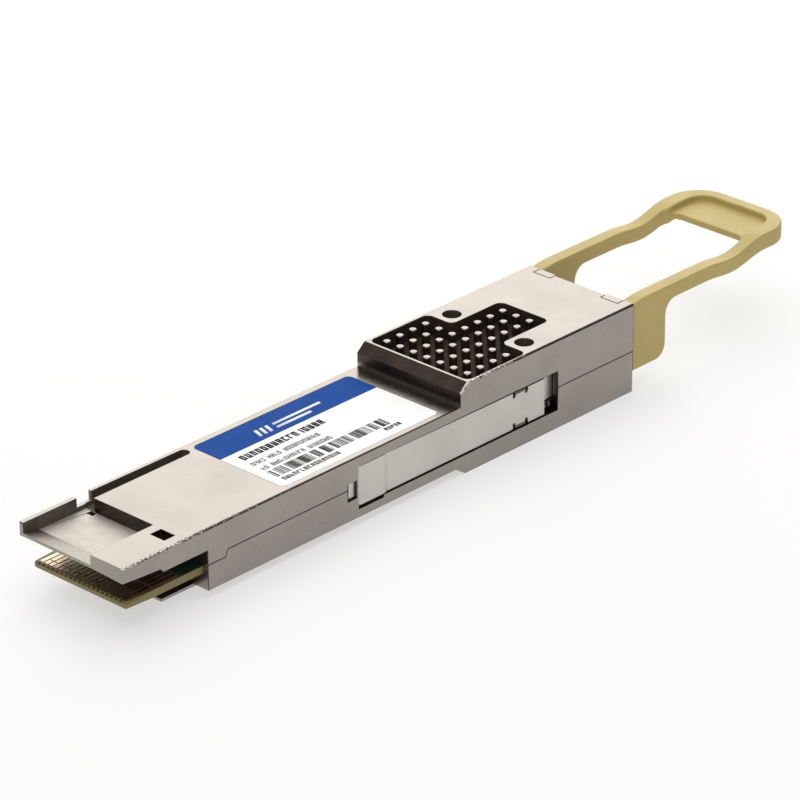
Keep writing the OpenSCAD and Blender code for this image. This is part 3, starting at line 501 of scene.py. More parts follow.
ceramic = finish("ceramic_body", (0.27, 0.17, 0.09), (0.33, 0.22, 0.13), (0.3, 0.42), cloud=0.5, grain=0.05,
                 bump=0.12, depth=0.008)
ferrite = finish("ferrite_body", (0.045, 0.042, 0.04), (0.07, 0.066, 0.062), (0.55, 0.7), cloud=0.5,
                 grain=0.07, bump=0.3, depth=0.02)
fibre_glass = finish("fibre_glass", (0.75, 0.78, 0.8), (0.68, 0.72, 0.75), (0.05, 0.1), cloud=0.1,
                     grain=0.03, bump=0.02, depth=0.001)
front_cast = shaded_front("shaded_front")
worn_and_shaded_edge = worn_and_shaded_rim("worn_and_shaded_nickel_edge")
card_face = finish("card_face", (0.15, 0.098, 0.052), (0.18, 0.118, 0.062), (0.32, 0.45), cloud=1.2,
                   grain=0.15, bump=0.1, depth=0.01)
tooth_brown = finish("plating_stub", (0.06, 0.042, 0.022), (0.08, 0.055, 0.03), (0.4, 0.55), cloud=0.4,
                     grain=0.06, bump=0.1, depth=0.006)
ribbon_stripes = striped("fibre_ribbon", ((0.07, 0.42, 0.52), (0.16, 0.55, 0.62), (0.1, 0.45, 0.5)),
                         0.25 * MM, (0.3, 0.42))


# ---- Housing ----

POCKET_DEPTH = 2.75 * MM
PIN_START = 3.49 * MM
PIN_PITCH_X = 2.456 * MM
PIN_PITCH_Y = 2.37 * MM
PIN_ROWS = 7
PIN_COLUMNS = 8
PIN_COLUMNS_SIDE = 4
PIN_R = 0.56 * MM
PIN_H = POCKET_DEPTH + 0.03 * MM


def pin_axes():
    """Places of the heat-sink pins in plan."""
    for row in range(-(PIN_ROWS // 2), PIN_ROWS // 2 + 1):
        count = PIN_COLUMNS if abs(row) <= 1 else PIN_COLUMNS_SIDE
        for column in range(count):
            yield REAR_X + PIN_START + PIN_PITCH_X * column, PIN_PITCH_Y * row


def drop_pins(bm):
    """Takes the plain pins out of the pocket and closes its floor."""
    floor = REAR_TOP - POCKET_DEPTH
    reach = PIN_R + 0.05 * MM
    axes = list(pin_axes())
    gone = []
    for vert in bm.verts:
        if vert.co.z > floor + 0.5 * MM and REAR_X < vert.co.x < REAR_X + 24 * MM:
            if any(math.hypot(vert.co.x - x, vert.co.y - y) < reach for x, y in axes):
                gone.append(vert)
    bmesh.ops.delete(bm, geom=gone, context="VERTS")
    bmesh.ops.holes_fill(bm, edges=[e for e in bm.edges if e.is_boundary], sides=0)


PLAIN, WORN_SHADED, SHADE_DARK, FRONT, FLOOR, LINE, SHADE_BROWN, POCKET, RAMP = range(9)

# Limits and spans of the zones in mm, measured as local() does
TOUCH = 0.01
RIM = 0.04
FACING = 0.9
SEAM_Z = (1.6, 6.9)
WINDOW_EDGE_X, WINDOW_EDGE_Z = (40.3, 78.5), 6.8
WINDOW_X, WINDOW_Y, WINDOW_Z = (38.5, 78.4), (7, 9.1), (1.4, 7.2)
SLOPE_X, SLOPE_Z = (59.6, 60.9), 10.5
FRONT_X, FRONT_LEAN, FRONT_Z = (58, 61.6), -0.12, CAGE_TOP_MM - 0.1
LUG_X, LUG_Y = (BODY_L - 1.6, BODY_L - 0.03), (4.3, 7.6)
POCKET_X, POCKET_Y, POCKET_Z = (61, 83), 8.9, (CAGE_TOP_MM, REAR_TOP_MM - RIM)
SCREW_X, SCREW_Y, SCREW_HOLE_R = 74.7, 6.4, 1.35
UNDER_NOSE_X, UNDER_NOSE_Z = 14, (3.2, 7)
OPEN_NOSE_X, OPEN_NOSE_Z = 14.3, 5.3
SIDE_DEEP, TOP_DEEP, UNDER_DEEP, PORT_DEEP = 0.9, 0.15, 0.05, 0.1
RECESS_FLOOR, RECESS_Z = 6.6, (6, CAGE_TOP_MM - 0.02)
WALL_X, WALL_IN, WALL_OUT = (0.5, 28), 7.0, 8.4
BACK_WALL_X = (8, 10.8)
GROOVE_X = (10.4, 28)
FLOOR_Z = (6, 7.4)
RAMP_END, RAMP_TILT, RAMP_Z = 2.6, (0.9, 0.995), (RECESS_FLOOR, 7.4)


def within(value, span):
    return span[0] < value < span[1]


def is_seam(edge):
    """Whether an edge is part of the line where the two shells meet on a side."""
    x, y, z = local(middle(edge))
    if abs(y) < HALF_W_MM - TOUCH or not within(z, SEAM_Z):
        return False
    on_step = any(abs(f.normal.z) > 0.2 or abs(f.normal.x) > FACING for f in edge.link_faces)
    return on_step and not (within(x, WINDOW_EDGE_X) and z > WINDOW_EDGE_Z)


def is_long_top(edge):
    """Whether an edge is the near upper edge of the raised rear body, or of its sloped front."""
    x, y, z = local(middle(edge))
    on_slope = within(x, SLOPE_X) and z > SLOPE_Z
    return (z > REAR_TOP_MM - TOUCH or on_slope) and y < TOUCH - HALF_W_MM


def is_cage_top(edge):
    """Whether an edge is the near long upper edge in front of the raised body."""
    x, y, z = local(middle(edge))
    return abs(z - CAGE_TOP_MM) < TOUCH and x < SLOPE_X[0] and y < TOUCH - HALF_W_MM


def is_wall_front(edge):
    """Whether an edge is at the free front end of the thin nose wall."""
    x, y, z = local(middle(edge))
    return x < TOUCH and y > WALL_OUT and z > RECESS_FLOOR


def is_lug_gap(edge):
    """Whether an edge borders the two lugs of the port's retainer."""
    x, y, z = local(middle(edge))
    return within(x, LUG_X) and z > REAR_TOP_MM - TOUCH and within(abs(y), LUG_Y)


def is_outside(edge):
    """Whether an edge is on the outer skin or in the open nose."""
    x, y, z = local(middle(edge))
    in_nose = x < OPEN_NOSE_X and z > OPEN_NOSE_Z
    on_top = z > CAGE_TOP_MM - TOP_DEEP
    return abs(y) > HALF_W_MM - SIDE_DEEP or on_top or in_nose or z < UNDER_DEEP or x > BODY_L - PORT_DEEP


def zone(face):
    """Which finish a face of the castings takes, by where it is and where it looks; several zones take
    painted shade.
    """
    x, y, z = local(face.calc_center_median())
    n = face.normal
    in_recess = within(z, RECESS_Z)
    by_wall = y > WALL_IN and in_recess
    screw_hole = math.hypot(x - SCREW_X, abs(y) - SCREW_Y) < SCREW_HOLE_R and z < REAR_TOP_MM - RIM
    far_wall = within(x, WALL_X) and n.z < 0.95 and n.y < 0.5 and by_wall
    groove_floor = within(x, GROOVE_X) and n.z > FACING and by_wall
    under_nose = x < UNDER_NOSE_X and n.z < -0.5 and within(z, UNDER_NOSE_Z)
    # Painted shade in the screw holes, on the thin wall's inner face, on the groove's floor and under the
    # nose
    if screw_hole or far_wall or groove_floor or under_nose:
        return SHADE_BROWN
    if within(x, POCKET_X) and abs(y) < POCKET_Y and within(z, POCKET_Z):
        return POCKET
    # Painted shade in the side windows and on the nose recess's back wall
    in_window = within(x, WINDOW_X) and within(z, WINDOW_Z) and within(abs(y), WINDOW_Y)
    if in_window or (within(x, BACK_WALL_X) and n.x < -FACING and in_recess):
        return SHADE_DARK
    # Painted shade on the steep front of the raised body
    if within(x, FRONT_X) and n.x < FRONT_LEAN and z > FRONT_Z:
        return FRONT
    if x < RAMP_END and within(n.z, RAMP_TILT) and within(z, RAMP_Z):
        return RAMP
    if x < GROOVE_X[0] and n.z > FACING and within(z, FLOOR_Z):
        return FLOOR
    return PLAIN


RAMP_CUT = 1.75 * MM
CORNER_LIFT = 0.12 * MM


def fold_ramp_corner(bm):
    """Parts the groove's floor from the recess, and folds up the ramp's corner by the thin wall."""
    level = [(f, *local(f.calc_center_median())) for f in bm.faces if f.normal.z > FACING]
    floors = [f for f, x, y, z in level if abs(z - RECESS_FLOOR) < 0.1 and x < GROOVE_X[1]]
    cut_faces(bm, floors, at(GROOVE_X[0], 0, 0), (1, 0, 0))
    ramps = [f for f, x, y, z in level
             if f.is_valid and x < RAMP_END - 0.1 and z > RECESS_FLOOR and f.calc_area() > WIDE_FACE]
    for ramp in ramps:
        wall_y = max(v.co.y for v in ramp.verts)
        run = max(v.co.x for v in ramp.verts) - NOSE_X
        top = max(v.co.z for v in ramp.verts)
        cut_faces(bm, [ramp], Vector((NOSE_X + run, wall_y, 0)), (RAMP_CUT, -run, 0))
        for vert in bm.verts:
            at_corner = abs(vert.co.x - NOSE_X) < TOUCH * MM and abs(vert.co.y - wall_y) < TOUCH * MM
            if at_corner and abs(vert.co.z - top) < 2 * TOUCH * MM:
                vert.co.z += CORNER_LIFT


def cut_faces(bm, faces, point, normal):
    """Divides some faces by a plane and leaves the rest whole."""
    edges = {e for f in faces for e in f.edges}
    verts = {v for f in faces for v in f.verts}
    bmesh.ops.bisect_plane(bm, geom=[*faces, *edges, *verts], plane_co=point, plane_no=normal,
                           dist=SAME_PLACE / 2)


def casting(name, node, clean):
    """A die casting: the CAD shape with its outer edges slightly rounded and its zones painted, several of
    them with painted shade.
    """
    bm = welded(node, clean)
    fold_ramp_corner(bm)
    for face in bm.faces:
        face.material_index = zone(face)
    sharp = sharp_edges(bm, angle=40, shortest=0.12 * MM)
    # The near long top edges get wear nicks and painted shade; the seams and lug gaps a dark joint line
    groups = ((is_long_top, 0.26 * MM, 3, WORN_SHADED), (is_cage_top, 0.3 * MM, 2, WORN_SHADED),
              (is_wall_front, 0.2 * MM, 3, PLAIN), (is_seam, 0.08 * MM, 1, LINE),
              (is_lug_gap, 0.09 * MM, 1, LINE), (is_outside, 0.06 * MM, 2, PLAIN))
    for test, width, segments, finish_index in groups:
        chosen = [e for e in sharp if e.is_valid and len(e.link_faces) == 2 and test(e)]
        if chosen:
            soften(bm, chosen, width, segments, material=finish_index)
            sharp = [e for e in sharp if e.is_valid]
    return as_piece(bm, name, [satin_nickel, worn_and_shaded_edge, recess_shade_cast, front_cast, cast_floor, seam_and_shade_line,
                                painted_shade_brown, pocket_shade, ramp_cast])


def heat_pin_tree():
    """Rows of round pins with domed tips, fewer in the outer rows."""
    group, given = new_tree("heat_pins", {
        "Columns": PIN_COLUMNS, "Side columns": PIN_COLUMNS_SIDE, "Rows": PIN_ROWS,
        "Pitch along": PIN_PITCH_X, "Pitch across": PIN_PITCH_Y, "Pin radius": PIN_R, "Pin height": PIN_H})
    size_x = times(group, given["Pitch along"], minus(group, given["Columns"], 1.0))
    size_y = times(group, given["Pitch across"], minus(group, given["Rows"], 1.0))
    field = step(group, "GeometryNodeMeshGrid", {
        "Size X": size_x, "Size Y": size_y, "Vertices X": given["Columns"], "Vertices Y": given["Rows"]})
    seat = split(group, step(group, "GeometryNodeInputPosition").outputs[0])
    column = ratio(group, plus(group, seat["X"], times(group, size_x, 0.5)), given["Pitch along"])
    row = ratio(group, maths(group, "ABSOLUTE", seat["Y"]), given["Pitch across"])
    far = maths(group, "GREATER_THAN", column, minus(group, given["Side columns"], 0.5))
    outer = maths(group, "GREATER_THAN", row, 1.5)
    stands = minus(group, 1.0, times(group, far, outer))
    rod = step(group, "GeometryNodeMeshCylinder", {
        "Vertices": 20, "Side Segments": 10, "Radius": given["Pin radius"], "Depth": given["Pin height"]})
    spot = split(group, step(group, "GeometryNodeInputPosition").outputs[0])
    up = plus(group, ratio(group, spot["Z"], given["Pin height"]), 0.5)
    widths = shape_curve(group, up, (
        (0, 1), (0.08, 0.98), (0.5, 0.95), (0.6, 0.93), (0.7, 0.87), (0.8, 0.76), (0.9, 0.58), (1, 0.3)))
    heights = shape_curve(group, up, (
        (0, 0), (0.5, 0.93), (0.6, 0.955), (0.7, 0.975), (0.8, 0.988), (0.9, 0.996), (1, 1)))
    shaped = vector(group, times(group, spot["X"], widths), times(group, spot["Y"], widths),
                    times(group, minus(group, heights, 0.5), given["Pin height"]))
    turned = step(group, "GeometryNodeSetPosition", {"Geometry": rod.outputs["Mesh"], "Position": shaped})
    stood = copies(group, field.outputs["Mesh"], turned.outputs[0], Selection=stands)
    return end_tree(group, stood, given)


def make_housing():
    for node, clean in (("top_shell", drop_pins), ("bottom_shell", None)):
        place(casting(node + "_casting", node, clean), "housing", "housing", node)
    middle_x = REAR_X + PIN_START + PIN_PITCH_X * (PIN_COLUMNS - 1) / 2
    pins = grow("heat_sink_pins", heat_pin_tree(), satin_nickel,
                Vector((middle_x, 0, REAR_TOP - PIN_H / 2)))
    shade_smooth(pins)
    pins.data.set_sharp_from_angle(angle=math.radians(60))
    place(pins, "housing", "housing", "top_shell")


# ---- Card edge ----

PAD_PITCH = 0.8 * MM
PAD_COUNT = 19
PAD_THICK = 0.04 * MM
PAD_WIDE = 0.56 * MM
FRONT_CHAMFER = 0.25 * MM
CARD_CORNER = 0.47 * MM
MASK_X, MASK_END, MASK_INSET = 10.6 * MM, 15.2 * MM, 0.15 * MM
MASK_SUNK, MASK_THICK = 0.005 * MM, 0.03 * MM


def pad_tree():
    """Two rows of edge contacts. Every third one is a long ground pad; the rest are split by a gap."""
    group, given = new_tree("edge_contacts", {
        "Count": PAD_COUNT, "Pitch": PAD_PITCH, "Width": PAD_WIDE, "Thickness": PAD_THICK, "Start": 1.7 * MM,
        "Short": 0.85 * MM, "Gap": 0.2 * MM, "Long": 3.1 * MM, "Rear row": 6.4 * MM})
    line = row_across(group, given["Count"], given["Pitch"])
    number = step(group, "GeometryNodeInputIndex").outputs[0]
    is_ground = maths(group, "LESS_THAN", maths(group, "MODULO", number, 3.0), 0.5)
    is_signal = minus(group, 1.0, is_ground)
    half_thick = times(group, given["Thickness"], 0.5)

    def pad(start, length):
        """One pad whose front is at start."""
        centre = plus(group, start, times(group, length, 0.5))
        return block(group, (length, given["Width"], given["Thickness"]), (centre, 0.0, half_thick))

    to_gap_end = plus(group, given["Short"], given["Gap"])
    after_gap = plus(group, given["Start"], to_gap_end)
    whole = plus(group, to_gap_end, given["Long"])
    rear = pad(given["Rear row"], plus(group, given["Short"], given["Long"]))
    ground = joined(group, pad(given["Start"], whole), rear)
    signal = joined(group, pad(given["Start"], given["Short"]), pad(after_gap, given["Long"]), rear)
    rows = [copies(group, line, pads, Selection=wanted)
            for pads, wanted in ((ground, is_ground), (signal, is_signal))]
    return end_tree(group, joined(group, *rows), given)


def tooth_tree():
    """Stubs of the plating bars, one in front of each contact on the card's bevelled edge."""
    group, given = new_tree("plating_stubs", {
        "Count": PAD_COUNT, "Pitch": PAD_PITCH, "Width": 0.34 * MM, "Length": FRONT_CHAMFER * math.sqrt(2),
        "Thickness": 0.02 * MM, "Tilt": -math.pi / 4})
    line = row_across(group, given["Count"], given["Pitch"])
    stub = block(group, (given["Length"], given["Width"], given["Thickness"]), (0.0, 0.0, 0.0))
    return end_tree(group, copies(group, line, stub, Rotation=vector(group, y=given["Tilt"])), given)


def make_card():
    bm = welded("paddle_card")
    front = sharp_edges(bm, lambda p: p.x < card_low.x + CARD_CORNER, angle=60)
    level = [e for e in front if abs(e.verts[0].co.z - e.verts[1].co.z) < 0.01 * MM]
    soften(bm, level, FRONT_CHAMFER, segments=1)
    for face in bm.faces:
        if abs(face.normal.z) > 0.99:
            face.material_index = 1
    card = as_piece(bm, "paddle_card_board", [board, card_face])
    place(card, "housing", "card", "paddle_card")
    stubs = grow("plating_stubs", tooth_tree(), tooth_brown,
                 Vector((card_low.x + FRONT_CHAMFER / 2, 0, card_high.z - FRONT_CHAMFER / 2)))
    place(stubs, "housing", "card")
    tree = pad_tree()
    for side, height in (("top", card_high.z), ("bottom", card_low.z - PAD_THICK)):
        pads = grow("edge_contacts_" + side, tree, hard_gold, Vector((NOSE_X, 0, height)))
        place(pads, "housing", "gold", "contact_pads_" + side)
    mask_low = Vector((NOSE_X + MASK_X, card_low.y + MASK_INSET, card_high.z - MASK_SUNK))
    mask_high = Vector((NOSE_X + MASK_END, card_high.y - MASK_INSET, card_high.z + MASK_THICK))
    placed = Matrix.Translation((mask_low + mask_high) / 2) @ Matrix.Diagonal((*(mask_high - mask_low), 1))
    bm = bmesh.new()
    bmesh.ops.create_cube(bm, size=1.0, matrix=placed)
    place(as_piece(bm, "solder_mask_sheet", [solder_mask]), "housing", "card")


# ---- Label ----

BAND_LOW_Y = 2.93 * MM
INK_THICK = 0.008 * MM


def bar_tree():
    """A row of upright bars with random widths and gaps, for a barcode."""
    group, given = new_tree("barcode_bars", {
        "Count": 60, "Length": 20 * MM, "Height": 2 * MM, "Thin": 0.3, "Thick": 1.1, "Kept": 0.75,
        "Thickness": INK_THICK, "Seed": 1})
    pitch = ratio(group, given["Length"], given["Count"])
    line = row_along(group, given["Count"], pitch)
    keep = share_of(group, given["Kept"], given["Seed"], 0)
    share = random_value(group, given["Thin"], given["Thick"], given["Seed"], 11)
    size = vector(group, times(group, pitch, share), given["Height"], given["Thickness"])
    cube = step(group, "GeometryNodeMeshCube").outputs["Mesh"]
    return end_tree(group, copies(group, line, cube, Selection=keep, Scale=size), given)


def greeked_tree():
    """Greeked print: a row of made-up marks, each a random set of five strokes."""
    group, given = new_tree("greeked_print", {
        "Count": 20, "Length": 12 * MM, "Height": 1 * MM, "Mark share": 0.8, "Stroke": 0.15 * MM,
        "Kept": 0.9, "Thickness": INK_THICK, "Seed": 1})
    pitch = ratio(group, given["Length"], given["Count"])
    line = row_along(group, given["Count"], pitch)
    width = times(group, pitch, given["Mark share"])
    tall, stroke, thick = given["Height"], given["Stroke"], given["Thickness"]
    side = times(group, minus(group, width, stroke), 0.5)
    up = times(group, minus(group, tall, stroke), 0.5)
    left, down = (times(group, value, -1.0) for value in (side, up))
    kept = share_of(group, given["Kept"], given["Seed"], 0)
    upright, flat = (stroke, tall, thick), (width, stroke, thick)
    strokes = ((upright, (left, 0.0, 0.0), 0.9), (upright, (side, 0.0, 0.0), 0.7),
               (flat, (0.0, up, 0.0), 0.6), (flat, (0.0, down, 0.0), 0.6), (flat, (0.0, 0.0, 0.0), 0.4))
    drawn = []
    for number, (size, centre, chance) in enumerate(strokes):
        lucky = times(group, kept, share_of(group, chance, given["Seed"], 7 + 5 * number))
        drawn.append(copies(group, line, block(group, size, centre), Selection=lucky))
    return end_tree(group, joined(group, *drawn), given)


def make_label():
    bm = welded("label")
    geometry = list(bm.verts) + list(bm.edges) + list(bm.faces)
    bmesh.ops.bisect_plane(bm, geom=geometry, plane_co=(0, BAND_LOW_Y, 0), plane_no=(0, 1, 0))
    for face in bm.faces:
        if face.calc_center_median().y > BAND_LOW_Y:
            face.material_index = 1
    film = as_piece(bm, "label_film_sheet", [label_film, label_blue])
    place(film, "housing", "label", "label")
    height = CAGE_TOP + INK_THICK / 2
    bars = bar_tree()
    marks = greeked_tree()

    def printed(name, tree, x, length, y, tall, count, seed, **more):
        """A row that starts at x and is centred on y, in mm."""
        values = {"Count": count, "Length": length * MM, "Height": tall * MM, "Seed": seed, **more}
        return grow(name, tree, label_ink, Vector((NOSE_X + x * MM, y * MM, height)), values)

    rows = [
        printed("barcode", bars, 29.8, 20.5, -4.63, 2.0, 62, 4),
        printed("bold_line", marks, 30.2, 14.8, 1.2, 1.3, 16, 5, Stroke=0.33 * MM, Kept=1.0),
        printed("small_line_a", marks, 30.0, 12.0, -0.95, 0.85, 21, 7),
        printed("small_line_b", marks, 30.0, 12.4, -2.7, 0.85, 21, 9, Kept=0.88),
        printed("serial_line", marks, 29.9, 10.2, -6.5, 0.8, 16, 12, Stroke=0.2 * MM, Kept=1.0),
        printed("date_line", marks, 48.4, 2.9, -6.35, 0.75, 5, 15, Stroke=0.2 * MM, Kept=1.0),
    ]
    ink = join_pieces("label_print", rows)
    place(ink, "housing", "label", "label")
    make_emblem(height)


def make_emblem(height):
    """A made-up sign on the blue band: three leaning strokes and two rules."""
    bm = bmesh.new()

    def leaning(x, y, wide, tall, lean):
        low_y, high_y = y - tall / 2, y + tall / 2
        corners = [(x, low_y), (x + wide, low_y), (x + wide + lean, high_y), (x + lean, high_y)]
        top = [bm.verts.new((NOSE_X + cx * MM, cy * MM, height + INK_THICK / 2)) for cx, cy in corners]
        low = [bm.verts.new((v.co.x, v.co.y, height - INK_THICK / 2)) for v in top]
        bm.faces.new(top)
        bm.faces.new(low[::-1])
        for i in range(4):
            after = (i + 1) % 4
            bm.faces.new([low[i], low[after], top[after], top[i]])

    for i in range(3):
        leaning(36.4 + 0.95 * i, 4.75, 0.5, 1.7, 0.45)
    leaning(39.9, 5.25, 8.6, 0.5, 0.14)
    leaning(39.7, 4.25, 6.2, 0.5, 0.14)
    emblem = as_piece(bm, "label_emblem", [print_white])
    place(emblem, "housing", "label", "label")


# ---- Release frame, springs and pull tab ----

ARM_LOW, ARM_HIGH = 1.6, 6.9
ARM_OUT = 8.8
HUMP_X, HUMP_Y, HUMP_RISE = (40, 46.4), 8, 0.17 * MM
SHADED_TOP_X = (HUMP_X[1], 76)
# The frame's rear end takes painted brown shade
SHADED_END_X = (75.95, 80)
NOTCHES = ((69.72, 70.22), (72.08, 72.58))
NOTCH_DEEP = 0.85
STRIP_DEEP = 0.45


def raise_thumb_hump(bm):
    """Lets the raised front of each arm fill the gap over it."""
    for vert in bm.verts:
        x, y, z = local(vert.co)
        if within(x, HUMP_X) and z > ARM_HIGH - 2 * TOUCH and abs(y) > HUMP_Y:
            vert.co.z += HUMP_RISE


def cut_for_paint(bm):
    """Divides the arms' outer faces round the notches, so that the notches and the folded strips between them
    can take painted shade.
    """
    planes = [((1, 0, 0), at(x, 0, 0)) for pair in NOTCHES for x in pair]
    for deep in (NOTCH_DEEP, STRIP_DEEP):
        planes += [((0, 0, 1), at(0, 0, ARM_LOW + deep)), ((0, 0, 1), at(0, 0, ARM_HIGH - deep))]
    for normal, point in planes:
        outer = [f for f in bm.faces
                 if abs(f.normal.y) > FACING and abs(local(f.calc_center_median())[1]) > ARM_OUT]
        cut_faces(bm, outer, point, normal)


def is_arm_top(point):
    """Whether a place is on the shadowed upper outer edge of an arm."""
    x, y, z = local(point)
    return within(x, SHADED_TOP_X) and abs(y) > ARM_OUT and z > ARM_HIGH - 2 * TOUCH


def frame_zone(face):
    """Finish of a face of the release frame: 0 steel, 1 painted brown shade, 2 painted dark shade."""
    x, y, z = local(face.calc_center_median())
    depth = min(z - ARM_LOW, ARM_HIGH - z)
    # Notches take painted dark shade; the strips between them take painted brown shade
    if abs(y) > ARM_OUT and abs(face.normal.y) > FACING:
        if any(within(x, notch) for notch in NOTCHES) and depth < NOTCH_DEEP:
            return 2
        if NOTCHES[0][1] < x < NOTCHES[1][0] and depth < STRIP_DEEP:
            return 1
    return 1 if within(x, SHADED_END_X) else 0


def make_release():
    bm = welded("release_frame")
    raise_thumb_hump(bm)
    cut_for_paint(bm)
    for face in bm.faces:
        face.material_index = frame_zone(face)
    # The arms' top edges get a bevel painted as a dark shadow line
    soften(bm, sharp_edges(bm, is_arm_top, shortest=1 * MM), 0.12 * MM, segments=1, material=2)
    soften(bm, sharp_edges(bm, shortest=0.13 * MM), 0.05 * MM, segments=2)
    frame_piece = as_piece(bm, "release_frame_stamping", [stamped_steel, painted_shade_brown, seam_and_shade_line])
    place(frame_piece, "release", "sheet", "release_frame")
    bm = welded("pull_tab")
    tab_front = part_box("pull_tab")[0].x
    soften(bm, sharp_edges(bm, lambda p: p.x > tab_front + 0.05 * MM, angle=40), 0.28 * MM, segments=4)
    tab = as_piece(bm, "pull_tab_moulding", [beige_rubber], smooth_angle=40)
    flatten = tab.modifiers.new("Weighted normals", "WEIGHTED_NORMAL")
    flatten.keep_sharp = True
    flatten.weight = 60
    place(tab, "release", "tab", "pull_tab")


SPRING_TURNS = 7.0
WIRE_R = 0.08 * MM


# Turns a tree's shape that stands up so that it lies along X
LAID_ALONG_X = (0.0, math.pi / 2, 0.0)


def spring_tree():
    """A close-wound wire coil along X."""
    group, given = new_tree("return_spring", {
        "Turns": SPRING_TURNS, "Coil radius": 0.37 * MM, "Wire radius": WIRE_R, "Length": 5 * MM})
    coil = step(group, "GeometryNodeCurveSpiral", {
        "Resolution": 20, "Rotations": given["Turns"], "Start Radius": given["Coil radius"],
        "End Radius": given["Coil radius"], "Height": given["Length"]})
    wire = step(group, "GeometryNodeCurvePrimitiveCircle", {
        "Resolution": 10, "Radius": given["Wire radius"]})
    swept = step(group, "GeometryNodeCurveToMesh", {
        "Curve": coil.outputs[0], "Profile Curve": wire.outputs[0], "Fill Caps": True})
    laid = step(group, "GeometryNodeTransform", {"Geometry": swept.outputs[0],
                                                 "Rotation": LAID_ALONG_X})
    return end_tree(group, laid.outputs[0], given)


def make_springs():
    tree = spring_tree()
    for side in ("left", "right"):
        low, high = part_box("return_spring_" + side)
        start = Vector((low.x + WIRE_R, (low.y + high.y) / 2, (low.z + high.z) / 2))
        spring = grow("return_spring_coil_" + side, tree, spring_wire, start, {
            "Coil radius": (high.z - low.z) / 2 - WIRE_R, "Length": high.x - low.x - 2 * WIRE_R})
        shade_smooth(spring)
        place(spring, "housing", "spring", "return_spring_" + side)
        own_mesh(spring)


# ---- Optical port ----

def softened_copy(name, node, slot, material, width, segments=2, rim=None):
    """A copy of a CAD node with softened edges, which rim paints where it is given."""
    bm = welded(node)
    soften(bm, sharp_edges(bm, shortest=1.2 * width), width, segments, material=1 if rim else -1)
    return place(as_piece(bm, name, [material, rim] if rim else [material]), "housing", slot, node)


def fibre_tree():
    """A row of fibre ends across the face of the ferrule."""
    group, given = new_tree("fibre_ends", {"Count": 12, "Pitch": 0.25 * MM, "Fibre radius": 0.0625 * MM,
                                           "Stand out": 0.02 * MM})
    line = row_across(group, given["Count"], given["Pitch"])
    end = step(group, "GeometryNodeMeshCylinder", {"Vertices": 12, "Radius": given["Fibre radius"],
                                                   "Depth": given["Stand out"]}).outputs["Mesh"]
    laid = step(group, "GeometryNodeTransform", {"Geometry": end, "Rotation": LAID_ALONG_X}).outputs[0]
    return end_tree(group, copies(group, line, laid), given)


def make_port():
    softened_copy("port_insert_moulding", "port_insert", "port_black", black_moulding, 0.06 * MM)
    softened_copy("port_hook_moulding", "port_hooks", "hook_green", green_moulding, 0.08 * MM)
    softened_copy("port_retainer_stamping", "port_retainer", "sheet", satin_nickel, 0.05 * MM, 1, seam_and_shade_line)
    softened_copy("ferrule_moulding", "mt_ferrule", "ferrule", glass_filled, 0.05 * MM)
    low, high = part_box("mt_ferrule")
    fibres = grow("fibre_ends", fibre_tree(), fibre_glass, Vector((high.x, 0, (low.z + high.z) / 2)))
    place(fibres, "housing", "ferrule")


# ---- Finishes of the nodes that keep their CAD shape ----

KEPT = (
    (absorber, "emi_gasket", "front_emi_strips", "ferrule_boot"),
    (amber_lens, "lens_block"),
    (black_moulding, "ribbon_clamp", "ferrule_holder"),
    (ceramic, "bulk_capacitors", "coupling_capacitors"),
    (dark_screw, "housing_screws"),
    (ferrite, "power_inductors"),
    (gap_filler, "processor_thermal_pad", "driver_thermal_pad"),
    (ground_steel, "guide_pins"),
    (moulded_chip, "signal_processor", "microcontroller", "power_regulators", "bias_resistors"),
    (ribbon_stripes, "fibre_ribbon"),
    (silicon, "laser_driver", "receiver_amplifier", "laser_array", "photodiode_array"),
    (stamped_steel, "pin_keeper", "reference_oscillator"),
)


def paint_kept_nodes():
    for material, *names in KEPT:
        for node in names:
            if not nodes[node].material_slots:
                nodes[node].data.materials.append(material)
            for slot in nodes[node].material_slots:
                slot.material = material


# ---- Studio ----

PAPER_HALF = 4.0
PAPER_Z = -0.02 * MM
PAPER_GREY = 0.42
PAPER_GLOW = 0.54


def make_floor():
    """A wide pale floor under the module."""
    bm = bmesh.new()
    corners = ((-1, -1), (1, -1), (1, 1), (-1, 1))
    bm.faces.new([bm.verts.new((x * PAPER_HALF, y * PAPER_HALF, PAPER_Z)) for x, y in corners])
    paper, _, shader, _ = new_material("studio_paper")
    shader.inputs["Base Color"].default_value = (PAPER_GREY, PAPER_GREY, PAPER_GREY, 1)
    shader.inputs["Roughness"].default_value = 1.0
    shader.inputs["Specular IOR Level"].default_value = 0.0
    shader.inputs["Emission Color"].default_value = (1.0, 1.0, 1.0, 1)
    shader.inputs["Emission Strength"].default_value = PAPER_GLOW
    floor = as_piece(bm, "studio_floor", [paper])


def softbox(name, direction, distance, width, height, radiance, colour=(1, 1, 1)):
    """A flat soft light that faces the middle of the module."""
    lamp = bpy.data.lights.new(name, "AREA")
    lamp.shape = "RECTANGLE"
    lamp.size = width
    lamp.size_y = height
    lamp.energy = radiance * math.pi * width * height
    lamp.color = colour
    holder = link(name, lamp)
    away = Vector(direction).normalized()
    holder.location = away * distance
    holder.rotation_euler = away.to_track_quat("Z", "Y").to_euler()
    holder.visible_camera = False


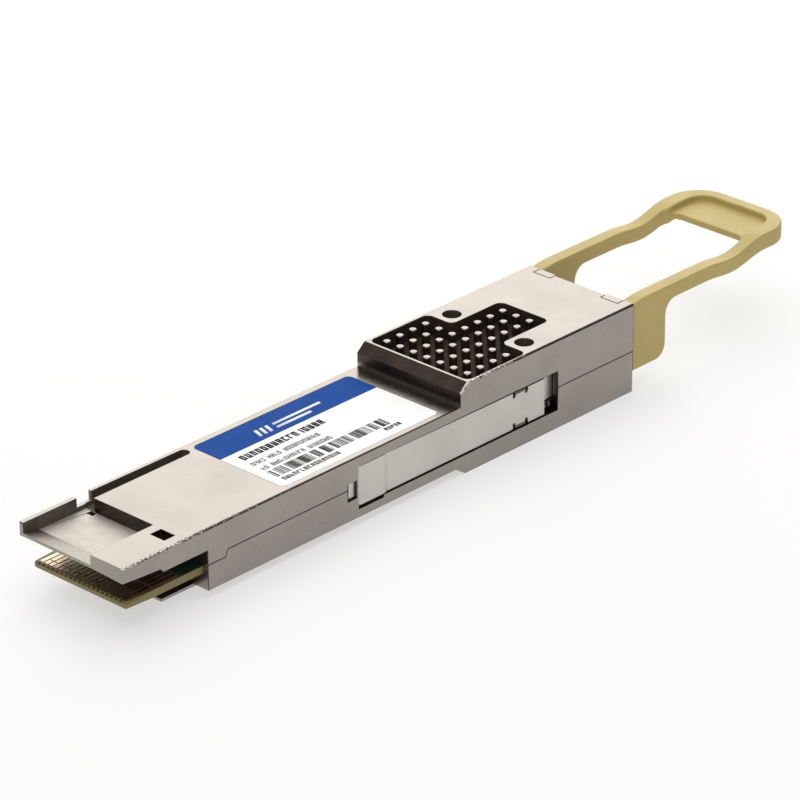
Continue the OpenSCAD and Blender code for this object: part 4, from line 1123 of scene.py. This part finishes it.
def make_lights():
    softbox("back_softbox", (0.65, 0.62, 0.47), distance=0.55, width=0.62, height=0.5, radiance=2.3,
            colour=(1.0, 0.99, 0.975))
    softbox("overhead_softbox", (0.05, 0.1, 1.0), distance=0.7, width=1.0, height=1.0, radiance=1.7)
    softbox("front_fill", (-0.75, -0.5, 0.62), distance=0.7, width=0.6, height=0.5, radiance=1.3)
    world = bpy.data.worlds.new("studio_surroundings")
    bpy.context.scene.world = world
    world.use_nodes = True
    group = world.node_tree
    sky = step(group, "ShaderNodeTexCoord").outputs["Generated"]
    height = step(group, "ShaderNodeSeparateXYZ", {"Vector": sky}).outputs["Z"]
    share = spread(group, height, 0.0, 1.0, 0.08, 0.2)
    tone = mixed(group, share, (0.7, 0.7, 0.7), (0.05, 0.037, 0.03))
    group.links.new(tone, group.nodes["Background"].inputs["Color"])
    bpy.context.scene.view_settings.view_transform = "Standard"


VIEW_AZIMUTH = math.radians(-46.459)
VIEW_ELEVATION = math.radians(25.991)
VIEW_ROLL = math.radians(-0.410)
VIEW_DISTANCE = 600 * MM
VIEW_LENS = 207.6
VIEW_TARGET = at(61.49, 3.37, 4.80)


def make_camera():
    camera = bpy.data.cameras.new("studio_camera")
    camera.lens = VIEW_LENS
    camera.sensor_width = 36
    camera.clip_start = 0.01
    camera.clip_end = 50
    holder = link("studio_camera", camera)
    flat = math.cos(VIEW_ELEVATION)
    back = Vector((math.sin(VIEW_AZIMUTH) * flat, -math.cos(VIEW_AZIMUTH) * flat, math.sin(VIEW_ELEVATION)))
    level = Vector((math.cos(VIEW_AZIMUTH), math.sin(VIEW_AZIMUTH), 0))
    upright = back.cross(level)
    right = level * math.cos(VIEW_ROLL) + upright * math.sin(VIEW_ROLL)
    up = upright * math.cos(VIEW_ROLL) - level * math.sin(VIEW_ROLL)
    turn = Matrix((right, up, back)).transposed().to_4x4()
    holder.matrix_world = Matrix.Translation(VIEW_TARGET + back * VIEW_DISTANCE) @ turn
    bpy.context.scene.camera = holder


make_camera()
make_lights()
make_floor()
make_housing()
make_card()
make_label()
make_release()
make_springs()
make_port()
paint_kept_nodes()
